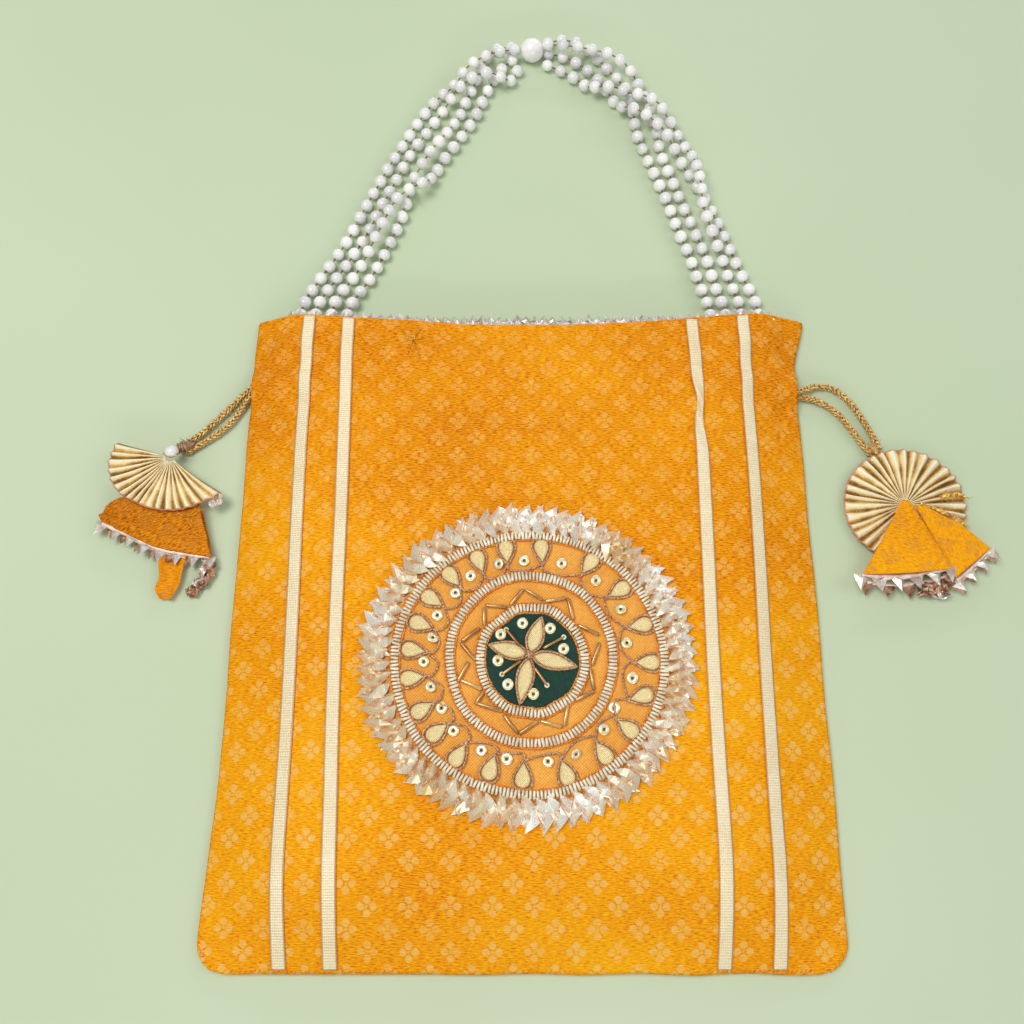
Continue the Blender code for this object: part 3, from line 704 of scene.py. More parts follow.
def row(name, route, shape, pitch, finish, closed=False, size=(1.0, 1.0, 1.0), size_spread=0.0,
        turn=(0.0, 0.0, 0.0), spread=(0.0, 0.0, 0.0), seed=1):
    """Copies of a shape every pitch millimetres along a route; turns are in degrees."""
    return grow(name, line_object(route, closed), ROW, Shape=shape, Pitch=pitch * MM, Size=size,
                Size_spread=size_spread, Turn=tuple(math.radians(a) for a in turn),
                Turn_spread=tuple(math.radians(a) for a in spread), Seed=seed, Finish=finish)


# %% The marked tree: one shape at marked points
def marked_tree():
    tree = Tree("marked_shapes", Shape="Object", Finish="Material")
    shape = tree.put("GeometryNodeObjectInfo", {"transform_space": "ORIGINAL"},
                     {"Object": tree.asked("Shape")}, 4)
    turn = tree.put("GeometryNodeInputNamedAttribute", {"data_type": "FLOAT_VECTOR"}, {"Name": "turn"})
    turn = tree.put("FunctionNodeEulerToRotation", None, {0: turn})
    size = tree.put("GeometryNodeInputNamedAttribute", {"data_type": "FLOAT_VECTOR"}, {"Name": "size"})
    copies = tree.put("GeometryNodeInstanceOnPoints", None,
                      {"Points": tree.asked("Geometry"), "Instance": shape, "Rotation": turn, "Scale": size})
    return tree.close(tree.finished(copies, tree.asked("Finish")))


MARKED = marked_tree()


def at_marks(name, marks, shape, finish):
    """Copies of a shape at marks: (place in mm, turn in radians, size)."""
    source = line_object([mark[0] for mark in marks])
    for title, column in (("turn", 1), ("size", 2)):
        attribute = source.data.attributes.new(title, "FLOAT_VECTOR", "POINT")
        values = np.array([mark[column] for mark in marks], dtype=np.float32)
        attribute.data.foreach_set("vector", values.ravel())
    return grow(name, source, MARKED, Shape=shape, Finish=finish)


# %% The pearl tree: pearls, thread and knots on one route
def pearl_tree():
    tree = Tree("pearl_string", Pitch="Float", Pearl="Float", Thread="Float", Knot="Float", Seed="Int",
                Pearl_finish="Material", Thread_finish="Material")
    whole = tree.put("GeometryNodeMeshToCurve", None, {"Mesh": tree.asked("Geometry")})
    half = tree.put("ShaderNodeMath", {"operation": "MULTIPLY"}, {0: tree.asked("Pitch"), 1: 0.5})
    ball = tree.put("GeometryNodeMeshIcoSphere", None, {"Radius": tree.asked("Pearl"), "Subdivisions": 3})
    ball = tree.put("GeometryNodeSetShadeSmooth", None, {"Geometry": ball})
    turn = tree.put("FunctionNodeRandomValue", {"data_type": "FLOAT_VECTOR"},
                    {1: (6.0, 6.0, 6.0), "Seed": tree.asked("Seed")}, 0)
    pearls = tree.put("GeometryNodeInstanceOnPoints", None,
                      {"Points": tree.route(tree.asked("Pitch")), "Instance": ball,
                       "Scale": tree.chance(0.93, 1.04), "Rotation":
                       tree.put("FunctionNodeEulerToRotation", None, {0: turn})})
    between = tree.put("GeometryNodeTrimCurve", {"mode": "LENGTH"}, {"Curve": whole, 4: half, 5: 10.0})
    between = tree.put("GeometryNodeResampleCurve", {"mode": "LENGTH"},
                       {"Curve": between, "Length": tree.asked("Pitch")})
    knot = tree.put("GeometryNodeMeshIcoSphere", None, {"Radius": tree.asked("Knot"), "Subdivisions": 2})
    knots = tree.put("GeometryNodeInstanceOnPoints", None,
                     {"Points": between, "Instance": knot, "Scale": tree.chance(0.75, 1.15, 3)})
    round_thread = tree.put("GeometryNodeCurvePrimitiveCircle", {"mode": "RADIUS"},
                            {"Resolution": 6, "Radius": tree.asked("Thread")})
    thread = tree.put("GeometryNodeCurveToMesh", None,
                      {"Curve": whole, "Profile Curve": round_thread, "Fill Caps": True})
    strung = tree.put("GeometryNodeJoinGeometry")
    join = strung.node
    tree.group.links.new(thread, join.inputs[0])
    tree.group.links.new(knots, join.inputs[0])
    both = tree.put("GeometryNodeJoinGeometry").node
    tree.group.links.new(tree.finished(strung, tree.asked("Thread_finish")), both.inputs[0])
    tree.group.links.new(tree.finished(pearls, tree.asked("Pearl_finish")), both.inputs[0])
    return tree.close(both.outputs[0])


PEARLS = pearl_tree()
print("trees:", [group.name for group in bpy.data.node_groups])

# %% [markdown]
# ## Small shapes to repeat
# A pebble serves as a plait lobe, knot or bead end; a tube bead is a six-sided bar with
# softened ends; a folded leaf is a diamond with a raised crease. They have few faces,
# because each is repeated up to hundreds of times.

# %% Shapes
def pebble_parts(half_x, half_y, half_z, rings=5, sides=8, centre=(0.0, 0.0, 0.0), turn=0.0):
    """An egg along X."""
    points = []
    for r in range(1, rings):
        slope = math.pi * r / rings
        for k in range(sides):
            around = 2.0 * math.pi * k / sides
            points.append((-half_x * math.cos(slope), half_y * math.sin(slope) * math.cos(around),
                           half_z * math.sin(slope) * math.sin(around)))
    points.append((-half_x, 0.0, 0.0))
    points.append((half_x, 0.0, 0.0))
    c, s = math.cos(turn), math.sin(turn)
    points = [(c * x - s * y + centre[0], s * x + c * y + centre[1], z + centre[2]) for x, y, z in points]
    faces = []
    for r in range(rings - 2):
        for k in range(sides):
            n = (k + 1) % sides
            faces.append((r * sides + k, (r + 1) * sides + k, (r + 1) * sides + n, r * sides + n))
    first = len(points) - 2
    last = len(points) - 1
    base = (rings - 2) * sides
    for k in range(sides):
        n = (k + 1) % sides
        faces.append((first, k, n))
        faces.append((last, base + n, base + k))
    faces = [tuple(reversed(face)) for face in faces]
    return points, faces


def shape_object(name, parts, smooth=True):
    points, faces = gather_parts(parts)
    return mesh_object(name, points, faces, smooth=smooth)


PATTERNS = []


def pattern(name, parts, smooth=True):
    """A small shape to be repeated; patterns are put away at the end."""
    made = shape_object(name, parts, smooth)
    PATTERNS.append(made)
    return made


def bead_bar(length, width, sides=7):
    """A tube bead along Y with softened ends and its middle at the origin."""
    rings = ((-0.5, 0.55), (-0.42, 1.0), (0.42, 1.0), (0.5, 0.55))
    points = []
    for share, wide in rings:
        for k in range(sides):
            turn = 2.0 * math.pi * k / sides
            points.append((0.5 * width * wide * math.cos(turn), share * length,
                           0.5 * width * wide * math.sin(turn)))
    faces = [tuple(reversed(f)) for f in grid_faces(len(rings), sides, True)]
    faces.append(tuple(reversed([(len(rings) - 1) * sides + k for k in range(sides)])))
    faces.append(tuple(range(sides)))
    return outward((points, faces))


def points_inwards(points, faces):
    """True when the faces of a closed shape point inwards."""
    volume = 0.0
    place = [Vector(p) for p in points]
    for face in faces:
        for i in range(1, len(face) - 1):
            volume += place[face[0]].dot(place[face[i]].cross(place[face[i + 1]]))
    return volume < 0.0


def outward(parts):
    points, faces = parts
    if points_inwards(points, faces):
        faces = [tuple(reversed(face)) for face in faces]
    return points, faces


def folded_leaf(length, width, height, skew=0.0):
    """A folded diamond of foil along Y: its crease stands up, its foot lies flat."""
    rim = ((0.0, -0.5), (0.36, -0.2), (0.5, 0.06), (0.26, 0.3), (0.0, 0.5), (-0.26, 0.3), (-0.5, 0.06),
           (-0.36, -0.2))
    points = [(x * width + skew * (y + 0.5) * width, y * length, 0.0) for x, y in rim]
    points += [(0.05 * width + skew * 0.3 * width, -0.24 * length, 0.75 * height),
               (-0.03 * width + skew * 0.55 * width, 0.05 * length, height),
               (0.04 * width + skew * 0.8 * width, 0.3 * length, 0.5 * height)]
    faces = [(0, 1, 8), (1, 2, 9, 8), (2, 3, 10, 9), (3, 4, 10), (4, 5, 10), (5, 6, 9, 10), (6, 7, 8, 9),
             (7, 0, 8), (7, 6, 5, 4, 3, 2, 1, 0)]
    return outward((points, faces))


print("shapes ready")

# %% [markdown]
# ## Cords first
# The handle is four strands of 5 mm pearls. Each strand leaves the mouth on the left,
# meets one large pearl at the top of the loop, and goes down again on the right, so it is
# made as two half strands. The drawstrings are chain-braided cords: each goes once
# through the casing, round both cloths, and comes back to its own tassel. The routes
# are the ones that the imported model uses, so the looks lie exactly where the solids are.

# %% Routes
LEFT_DRAWSTRING = (
    (-130.2, 65.6, 1.6), (-125.0, 69.9, 1.6), (-118.8, 76.4, 1.6), (-112.0, 84.0, 1.8), (-107.6, 87.8, 3.2),
    (-103.5, 89.3, 5.3), (-98.0, 89.5, 6.6), (-90.0, 89.5, 8.6), (-80.0, 89.5, 10.2), (-66.0, 89.5, 11.1),
    (0.0, 89.5, 11.1), (60.0, 89.5, 11.1), (70.0, 89.5, 10.7), (78.0, 89.5, 9.8), (86.0, 89.5, 8.4),
    (93.0, 89.5, 6.9), (97.9, 89.5, 5.6), (99.5, 89.5, 4.1), (97.9, 89.5, 2.6), (92.0, 89.5, 2.25),
    (60.0, 89.5, 2.25), (0.0, 89.5, 2.25), (-60.0, 89.5, 2.25), (-97.0, 89.3, 2.25), (-103.6, 88.6, 2.2),
    (-107.8, 85.2, 2.0), (-111.0, 79.8, 1.7), (-114.0, 74.8, 1.6), (-118.2, 70.4, 1.6),
    (-123.4, 66.6, 1.6), (-129.2, 62.6, 1.6))
RIGHT_DRAWSTRING = (
    (131.6, 63.9, 1.6), (129.6, 69.2, 1.6), (126.2, 76.4, 1.6), (122.6, 82.6, 1.6), (118.8, 86.8, 1.6),
    (114.4, 89.0, 1.6), (109.6, 88.9, 2.0), (105.0, 87.0, 3.6), (100.3, 85.6, 5.2), (94.0, 85.5, 6.6),
    (85.0, 85.5, 8.6), (76.0, 85.5, 10.1), (60.0, 85.5, 11.1), (0.0, 85.5, 11.1), (-66.0, 85.5, 11.1),
    (-80.0, 85.5, 10.2), (-90.0, 85.5, 8.6), (-98.0, 85.5, 6.7), (-103.0, 85.5, 5.6), (-104.6, 85.5, 4.1),
    (-103.0, 85.5, 2.6), (-97.0, 85.5, 2.25), (-60.0, 85.5, 2.25), (0.0, 85.5, 2.25), (60.0, 85.5, 2.25),
    (94.0, 85.2, 2.25), (101.0, 84.6, 2.25), (106.6, 84.2, 2.0), (111.6, 82.4, 1.6), (116.8, 78.6, 1.6),
    (121.2, 72.8, 1.6), (124.8, 66.8, 1.6), (127.6, 62.3, 1.6))

STRANDS = {
    "left_a": ((-90.5, 106.0, 4.6), (-90.0, 119.0, 4.6), (-88.4, 127.0, 3.2), (-84.8, 134.0, 2.7),
               (-74.1, 152.8, 2.7), (-68.4, 166.3, 2.7), (-56.5, 192.2, 2.7), (-42.1, 218.4, 2.7),
               (-31.6, 229.9, 2.9), (-26.6, 234.6, 7.6), (-19.7, 239.6, 8.4), (-13.0, 242.5, 8.3),
               (-6.3, 244.4, 7.6)),
    "left_b": ((-84.0, 106.0, 4.6), (-84.2, 119.0, 4.6), (-82.4, 127.0, 3.2), (-78.2, 134.5, 2.7),
               (-71.4, 146.0, 2.7), (-66.2, 156.0, 2.7), (-61.0, 168.5, 2.7), (-55.0, 182.3, 2.7),
               (-49.3, 194.9, 2.7), (-40.0, 210.5, 2.7), (-34.8, 218.8, 3.4), (-30.8, 223.2, 7.4),
               (-26.5, 226.8, 8.4), (-21.5, 229.8, 9.2), (-16.4, 230.6, 9.4), (-11.8, 230.2, 7.4),
               (-7.4, 232.2, 2.9), (-4.9, 237.4, 2.7)),
    "left_c": ((-72.0, 106.0, 4.6), (-71.8, 119.0, 4.6), (-69.2, 127.0, 3.0), (-63.2, 137.1, 2.7),
               (-57.4, 150.0, 2.7), (-52.2, 164.4, 2.7), (-49.8, 174.6, 2.7), (-48.0, 181.5, 3.4),
               (-44.4, 187.0, 6.2), (-41.3, 192.5, 6.8), (-37.2, 199.0, 6.4), (-32.8, 206.5, 4.6),
               (-29.4, 213.5, 2.9), (-26.4, 222.0, 2.7), (-22.8, 231.5, 2.7), (-19.4, 241.5, 2.7),
               (-14.6, 248.6, 2.7), (-7.6, 249.8, 2.7)),
    "left_d": ((-77.9, 106.0, 4.6), (-78.0, 119.0, 4.6), (-76.0, 127.5, 3.2), (-69.6, 138.0, 2.7),
               (-66.2, 144.4, 3.8), (-61.8, 152.0, 7.4), (-57.8, 161.0, 8.4), (-54.0, 169.0, 8.4),
               (-48.6, 174.2, 8.4), (-42.2, 178.8, 6.8), (-39.4, 184.6, 2.9), (-35.2, 193.0, 2.7),
               (-29.0, 202.6, 2.7), (-23.4, 212.4, 2.7), (-19.8, 221.5, 2.7), (-16.4, 229.6, 2.7),
               (-12.9, 236.8, 2.7), (-7.2, 243.0, 2.7)),
    "right_a": ((70.6, 106.0, 4.6), (70.6, 119.0, 4.6), (69.4, 127.0, 3.0), (67.2, 134.0, 2.7),
                (63.9, 147.2, 2.7), (59.9, 159.3, 2.7), (56.0, 173.0, 2.7), (51.0, 186.9, 2.7),
                (47.0, 198.5, 2.7), (44.8, 207.5, 2.7), (44.2, 216.2, 2.7), (43.0, 224.8, 2.7),
                (38.6, 232.2, 2.7), (32.8, 239.4, 2.7), (27.6, 246.6, 2.7), (21.6, 251.8, 2.7),
                (14.7, 253.8, 2.7), (8.4, 252.0, 2.9)),
    "right_b": ((76.6, 106.0, 4.6), (76.6, 119.0, 4.6), (75.2, 127.0, 3.0), (73.4, 133.6, 2.7),
                (70.8, 145.5, 2.7), (66.8, 158.5, 2.7), (62.4, 171.0, 2.7), (58.8, 182.5, 2.7),
                (55.6, 192.3, 2.7), (54.0, 200.0, 2.7), (53.6, 207.2, 2.7), (52.0, 214.7, 2.7),
                (50.2, 221.7, 2.7), (47.0, 229.4, 3.0), (41.8, 236.4, 6.8), (35.6, 240.6, 8.4),
                (28.6, 243.2, 8.4), (21.8, 244.8, 8.4), (14.8, 245.8, 8.4), (8.2, 246.9, 7.8)),
    "right_c": ((82.8, 106.0, 4.6), (82.8, 119.0, 4.6), (81.8, 127.0, 3.2), (79.4, 135.0, 2.7),
                (77.4, 143.0, 3.6), (73.4, 154.0, 7.0), (70.0, 166.0, 8.4), (69.6, 177.5, 8.4),
                (68.4, 189.4, 5.8), (65.6, 196.8, 3.4), (62.4, 204.0, 2.9), (58.0, 211.2, 5.6),
                (54.0, 216.0, 8.5), (48.4, 219.9, 8.4), (41.4, 221.5, 8.4), (36.0, 223.6, 9.0),
                (30.0, 225.0, 7.8), (24.8, 228.6, 3.4), (20.0, 233.2, 2.7), (14.4, 237.0, 2.7),
                (8.0, 240.4, 2.7)),
    "right_d": ((89.6, 106.0, 4.6), (89.6, 119.0, 4.6), (88.4, 127.0, 3.0), (86.4, 132.8, 2.7),
                (82.7, 143.1, 2.7), (78.6, 155.6, 2.7), (74.8, 166.0, 2.7), (70.4, 176.5, 2.7),
                (64.2, 188.3, 2.7), (60.2, 195.6, 5.4), (56.4, 201.8, 8.0), (50.8, 208.4, 8.4),
                (45.0, 212.9, 8.4), (40.4, 215.6, 6.6), (37.2, 219.4, 2.9), (33.8, 226.0, 2.7),
                (29.6, 232.4, 2.7), (24.8, 238.0, 2.7), (19.6, 242.2, 2.7), (14.0, 245.0, 2.7),
                (8.6, 246.4, 2.7))}
STRAND_D = 5.0
PEARL_PITCH = 6.3
CORD_D = 2.2


def smooth_route(points, spacing):
    """Points about every spacing mm along a smooth curve through the listed points."""
    knots = [Vector(p) for p in points]
    ends = [knots[0] * 2 - knots[1]] + knots + [knots[-1] * 2 - knots[-2]]
    fine = []
    for i in range(1, len(ends) - 2):
        a, b, c, d = ends[i - 1:i + 3]
        for k in range(12):
            t = k / 12
            fine.append(0.5 * (2 * b + (c - a) * t + (2 * a - 5 * b + 4 * c - d) * t * t
                               + (3 * b - a - 3 * c + d) * t ** 3))
    fine.append(knots[-1])
    fine = np.array([tuple(p) for p in fine])
    steps = np.linalg.norm(np.diff(fine, axis=0), axis=1)
    lengths = np.concatenate([[0.0], np.cumsum(steps)])
    goals = np.linspace(0.0, lengths[-1], max(2, round(lengths[-1] / spacing)) + 1)
    return np.stack([np.interp(goals, lengths, fine[:, i]) for i in range(3)], axis=1)


def route_length(route):
    return float(np.linalg.norm(np.diff(np.asarray(route), axis=0), axis=1).sum())


# %% Pearl strands
large_pearl = shape_object("top_pearl", [pebble_parts(5.0, 5.0, 5.0, 18, 28, (1.4, 246.4, 5.0))])
dress(large_pearl, pearl, "pearl", "large_pearl")

for i, (side, route) in enumerate(STRANDS.items()):
    full = smooth_route(route, 1.0)
    strand = grow("strand_" + side + "_pearls", line_object(full), PEARLS, Pitch=PEARL_PITCH * MM,
                  Pearl=0.5 * STRAND_D * MM, Thread=0.32 * MM, Knot=0.62 * MM, Seed=11 + i,
                  Pearl_finish=pearl, Thread_finish=bead_thread)
    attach(strand, "root")
    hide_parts("handle_strand_" + side)
    path = smooth_route(route, 7.0)
    print(strand.name, round(route_length(full), 1), "mm,", len(strand.data.polygons), "faces")

# %% [markdown]
# ### Braided drawstrings
# A chain braid shows a row of V stitches on every side. A core tube painted dark runs down the middle as painted
# shade in the gaps, and a V of two slanted lobes repeats along it, once facing up and once facing down.

# %% Drawstrings
def join_into(first, others):
    """Joins plain meshes into the first one, keeping each one's finish."""
    with bpy.context.temp_override(active_object=first, selected_editable_objects=[first, *others],
                                   selected_objects=[first, *others], object=first):
        bpy.ops.object.join()
    return first


BRAID_PITCH = 1.75
v_stitch = pattern("v_stitch", [
    pebble_parts(1.35, 0.46, 0.5, 5, 7, (0.1, 0.48, 0.52), math.radians(-27.0)),
    pebble_parts(1.35, 0.46, 0.5, 5, 7, (0.1, -0.48, 0.52), math.radians(27.0)),
    pebble_parts(1.35, 0.46, 0.5, 5, 7, (0.9, 0.48, -0.45), math.radians(-27.0)),
    pebble_parts(1.35, 0.46, 0.5, 5, 7, (0.9, -0.48, -0.45), math.radians(27.0))])


def drawstring(name, points, node):
    full = smooth_route(points, 0.9)
    plait = row(name, full, v_stitch, BRAID_PITCH, braid, spread=(14.0, 4.0, 5.0), size_spread=0.06, seed=5)
    # Painted shade: a core tube painted dark stands for the shade in the gaps between the stitches.
    core_points, core_faces = tube_parts(full, 0.62, 6)
    shade_core = mesh_object(name + "_core", core_points, core_faces)
    shade_core.data.materials.append(gap_shade_dark)
    join_into(plait, [shade_core])
    dress(plait, braid, "braid", node)
    path = smooth_route(points, 1.8)
    print(name, round(route_length(full), 1), "mm,", len(plait.data.polygons), "faces")


# %% Knots of wrapped thread
def wrapped_knot(name, centre, along, wraps, width, spread, seed):
    """Turns of thread round a short stub, with loose hairs."""
    rng = np.random.default_rng(seed)
    c, s = math.cos(along), math.sin(along)
    parts = [pebble_parts(0.62 * spread, 0.8 * width, 0.75 * width, 7, 10, centre, along)]
    for i in range(wraps):
        t = -0.5 + (i + 0.5) / wraps
        tilt = rng.uniform(-0.35, 0.35)
        loop = []
        wide = width * (1.0 - 0.5 * abs(t)) * rng.uniform(0.9, 1.1)
        for k in range(16):
            a = 2.0 * math.pi * k / 16
            u = t * spread + tilt * wide * math.cos(a)
            v = wide * math.cos(a)
            z = centre[2] + wide * 0.85 * math.sin(a)
            loop.append((centre[0] + c * u - s * v, centre[1] + s * u + c * v, max(0.25, z)))
        parts.append(tube_parts(loop, 0.3, 5, closed=True))
    for i in range(26):
        start = np.array(centre) + rng.normal(0.0, 0.4 * width, 3) * (1.0, 1.0, 0.5)
        turn = rng.uniform(0.0, 2.0 * math.pi)
        bend = rng.uniform(-0.9, 0.9)
        long = rng.uniform(1.6, 4.2)
        hair = []
        for k in range(7):
            r = long * k / 6
            a = turn + bend * k / 6
            hair.append((start[0] + r * math.cos(a), start[1] + r * math.sin(a),
                         max(0.15, start[2] + 0.5 * math.sin(2.0 * r))))
        parts.append(tube_parts(hair, 0.07, 4))
    made = shape_object(name, parts)
    return made


left_knot = wrapped_knot("left_knot", (-130.6, 64.1, 3.0), math.radians(20.0), 7, 2.2, 6.0, 21)
dress(left_knot, fuzzy_thread, "braid")
right_knot = wrapped_knot("right_knot", (129.6, 63.2, 2.2), math.radians(-62.0), 4, 1.7, 3.6, 22)
dress(right_knot, braid, "braid")
drawstring("left_drawstring_braid", LEFT_DRAWSTRING, "drawstring_left")
drawstring("right_drawstring_braid", RIGHT_DRAWSTRING, "drawstring_right")

# %% [markdown]
# ## The bag's cloths
# The bag is two brocade cloths sewn together on three sides, with a thin lining in each.
# Flat cloth never lies flat: the front swells over the bag's fold allowances, pulls into
# small upright puckers where the casing gathers it, and pinches where the cords go out.
# The swell is one formula that the solids share. The puckers are added to it as soft
# waves, kept away from the medallion, which holds the cloth flat.

# %% Shape of the front
BOTTOM_Y = -119.0
FRONT_LIP_Y = 110.5
FRONT_LIP_RISE = 5.5
BACK_LIP_Y = 117.0
HALF_WIDTH = 105.0
CORNER_RADIUS = 10.0
LEFT_FOOT_FLARE = 2.6
PANEL_THICK = 0.8
LINING_THICK = 0.4
LINING_INSET = 7.0
LINING_BOTTOM_Y = -103.5
PUFF_TOP = 14.5
LIP_TOP = 10.5
EDGE_TOP = 1.95
SLOPE = 40.0
LIP_SLOPE = 24.0
GAP = 0.35
CASING_Y = 87.5
EXIT_RISE = 5.7
EXIT_HALF = 12.0
MEDALLION_X = -1.0
MEDALLION_Y = -19.5


def smooth_step(t):
    t = np.clip(t, 0.0, 1.0)
    return t * t * (3.0 - 2.0 * t)


def quarter(t):
    return np.sin(0.5 * np.pi * np.clip(t, 0.0, 1.0))


def side_edges(y):
    """Left and right edge of the bag at a height up the page."""
    flare = smooth_step((y - 95.0) / 24.0)
    pinch = 1.2 * np.cos(0.5 * np.pi * np.minimum(1.0, np.abs(y - CASING_Y) / 16.0)) ** 2
    under = np.clip(CORNER_RADIUS - (y - BOTTOM_Y), 0.0, CORNER_RADIUS)
    corner = CORNER_RADIUS - np.sqrt(CORNER_RADIUS ** 2 - under ** 2)
    foot = LEFT_FOOT_FLARE * smooth_step((-60.0 - y) / 45.0)
    left = -HALF_WIDTH - 2.5 + 0.7 * flare + pinch + corner - foot
    right = HALF_WIDTH - 2.5 + 5.0 * flare - pinch - corner
    return left, right


def front_swell(x, y):
    """Height of the front cloth before its puckers."""
    left, right = side_edges(y)
    inward = np.minimum(x - left, right - x)
    middle = PUFF_TOP - smooth_step((y - 55.0) / 30.0)
    middle = middle + (LIP_TOP + 1.0 - PUFF_TOP) * smooth_step((y - 95.0) / 18.0)
    opening = np.maximum(0.0, 1.0 - np.abs(y - CASING_Y) / EXIT_HALF)
    edge = EDGE_TOP + EXIT_RISE * np.sin(0.5 * np.pi * opening) ** 2
    slope = SLOPE + (LIP_SLOPE - SLOPE) * smooth_step((y - 92.0) / 14.0)
    return edge + (middle - edge) * quarter(inward / slope) * quarter((y - BOTTOM_Y) / SLOPE)


def waves(x, y, length, seed):
    """Soft random waves of about that length, within about -1 to 1."""
    rng = np.random.default_rng(seed)
    total = 0.0
    for _ in range(9):
        turn = rng.uniform(0.0, 2.0 * np.pi)
        step = 2.0 * np.pi / (length * rng.uniform(0.7, 1.5))
        total = total + np.sin((x * np.cos(turn) + y * np.sin(turn)) * step + rng.uniform(0.0, 2.0 * np.pi))
    return total / 4.2


def puckers(x, y):
    """Small folds on top of the swell, in millimetres."""
    left, right = side_edges(y)
    inward = np.minimum(x - left, right - x)
    away = np.hypot(x - MEDALLION_X, y - MEDALLION_Y)
    free = smooth_step((away - 60.0) / 18.0) * smooth_step((inward + 1.0) / 9.0)
    soft = 0.3 * waves(x, y, 52.0, 3) + 0.16 * waves(x, y, 23.0, 4) + 0.05 * waves(x, y, 9.0, 8)
    casing = np.exp(-((y - 84.0) / 17.0) ** 2)
    mouth = smooth_step((y - 94.0) / 12.0)
    upright = (0.34 * casing + 0.4 * mouth) * waves(x, 0.16 * y, 12.0, 5)
    upright = upright + 0.2 * casing * waves(x, 0.3 * y, 6.5, 6)
    stitched = -0.32 * (np.exp(-((y - 91.7) / 0.8) ** 2) + np.exp(-((y - 66.5) / 0.8) ** 2))
    folds = 0.0
    for edge, toward in ((left, 1.0), (right, -1.0)):
        across = toward * (x - edge)
        reach = np.hypot(across, y - CASING_Y)
        turn = np.arctan2(y - CASING_Y, np.maximum(across, 0.01))
        folds = folds + 0.5 * np.exp(-(reach / 24.0) ** 2) * smooth_step(reach / 7.0) * np.sin(8.0 * turn + 0.8)
    return free * (soft + upright + stitched + folds)


def front_height(x, y):
    return front_swell(x, y) + puckers(x, y)


def lip_y(x, front):
    rise = FRONT_LIP_Y + FRONT_LIP_RISE * smooth_step(np.abs(x) / HALF_WIDTH)
    return rise if front else np.full_like(np.asarray(x, dtype=float), BACK_LIP_Y)


print("front height at the medallion:", float(front_height(-1.0, -19.5)))

# %% A cloth between the seams
def panel_cloth(name, columns, rows, front, height, bottom=BOTTOM_Y, inset=0.0, short=0.0, wave=0.25):
    """A sheet from the bottom seam to the lip; height(x, y) is its upper face."""
    u = np.sin(np.linspace(-0.5, 0.5, columns) * np.pi) * 0.35 + np.linspace(-1.0, 1.0, columns) * 0.65
    points = []
    uvs = []
    for share in np.linspace(0.0, 1.0, rows):
        guess = bottom + (110.0 - bottom) * share
        left, right = side_edges(guess)
        x = 0.5 * (left + right) + 0.5 * u * (right - left - 2.0 * inset)
        y = bottom + (lip_y(x, front) - short - bottom) * share
        left, right = side_edges(y)
        x = 0.5 * (left + right) + 0.5 * u * (right - left - 2.0 * inset)
        z = height(x, y)
        uneven = wave * waves(x, y, 26.0, 15)
        y_shown = y + uneven * (1.0 - np.minimum(1.0, 8.0 * min(share, 1.0 - share)))
        x_shown = x + wave * waves(y, x, 31.0, 16) * np.abs(u) ** 12
        points.append(np.stack([x_shown, y_shown, z], axis=1))
        uvs.append(np.stack([x, y], axis=1))
    faces = grid_faces(rows, columns)
    return mesh_object(name, np.concatenate(points), faces, uvs=np.concatenate(uvs))


front_cloth = thicken(panel_cloth("front_cloth", 190, 200, True, front_height), PANEL_THICK)
dress(front_cloth, brocade, "brocade", "front_panel")
print("front cloth:", len(front_cloth.data.polygons), "faces")


# %% Back cloth and linings
def back_height(x, y):
    left, right = side_edges(y)
    inward = np.minimum(x - left, right - x)
    return PANEL_THICK + 0.25 * (1.0 + 0.6 * waves(x, y, 40.0, 31)) * smooth_step(inward / 12.0) * 0.5


def front_lining_height(x, y):
    casing = smooth_step((17.0 - np.abs(y - CASING_Y)) / 12.0)
    depth = PANEL_THICK + 0.95 + (CORD_D + 2.0 * GAP) * casing
    lowest = PANEL_THICK + 2.0 * GAP + 2.0 * LINING_THICK + (CORD_D + GAP) * casing
    return np.maximum(lowest, front_swell(x, y) - depth)


def back_lining_height(x, y):
    casing = smooth_step((17.0 - np.abs(y - CASING_Y)) / 12.0)
    return PANEL_THICK + GAP + LINING_THICK + (CORD_D + GAP) * casing + np.zeros_like(x)


back_cloth = thicken(panel_cloth("back_cloth", 70, 76, False, back_height), PANEL_THICK)
dress(back_cloth, brocade, "brocade", "back_panel")
front_lining = thicken(panel_cloth("front_lining_cloth", 60, 60, True, front_lining_height, LINING_BOTTOM_Y,
                                   LINING_INSET, 8.0, 0.0), LINING_THICK)
dress(front_lining, lining, "lining", "front_lining")
back_lining = thicken(panel_cloth("back_lining_cloth", 50, 50, False, back_lining_height, LINING_BOTTOM_Y,
                                  LINING_INSET, 8.0, 0.0), LINING_THICK)
dress(back_lining, lining, "lining", "back_lining")

# %% [markdown]
# ### Lip, seams and stitches
# The mouth is finished with a silver lace band whose points stand up past the lip. The
# front lip is a folded edge, so a soft roll of brocade closes it. The side and bottom
# seams are oversewn with gold thread, a zig-zag that repeats and so grows from a row.

# %% Mouth lace
lace_point = pattern("lace_point", [outward(([
    (-1.7, 0.0, 0.0), (1.7, 0.0, 0.0), (0.0, 2.9, 0.0), (0.0, 0.5, 0.75), (-1.7, -1.4, 0.0), (1.7, -1.4, 0.0)],
    [(0, 3, 2), (1, 2, 3), (4, 5, 1, 3, 0), (0, 2, 1, 5, 4)]))], smooth=False)


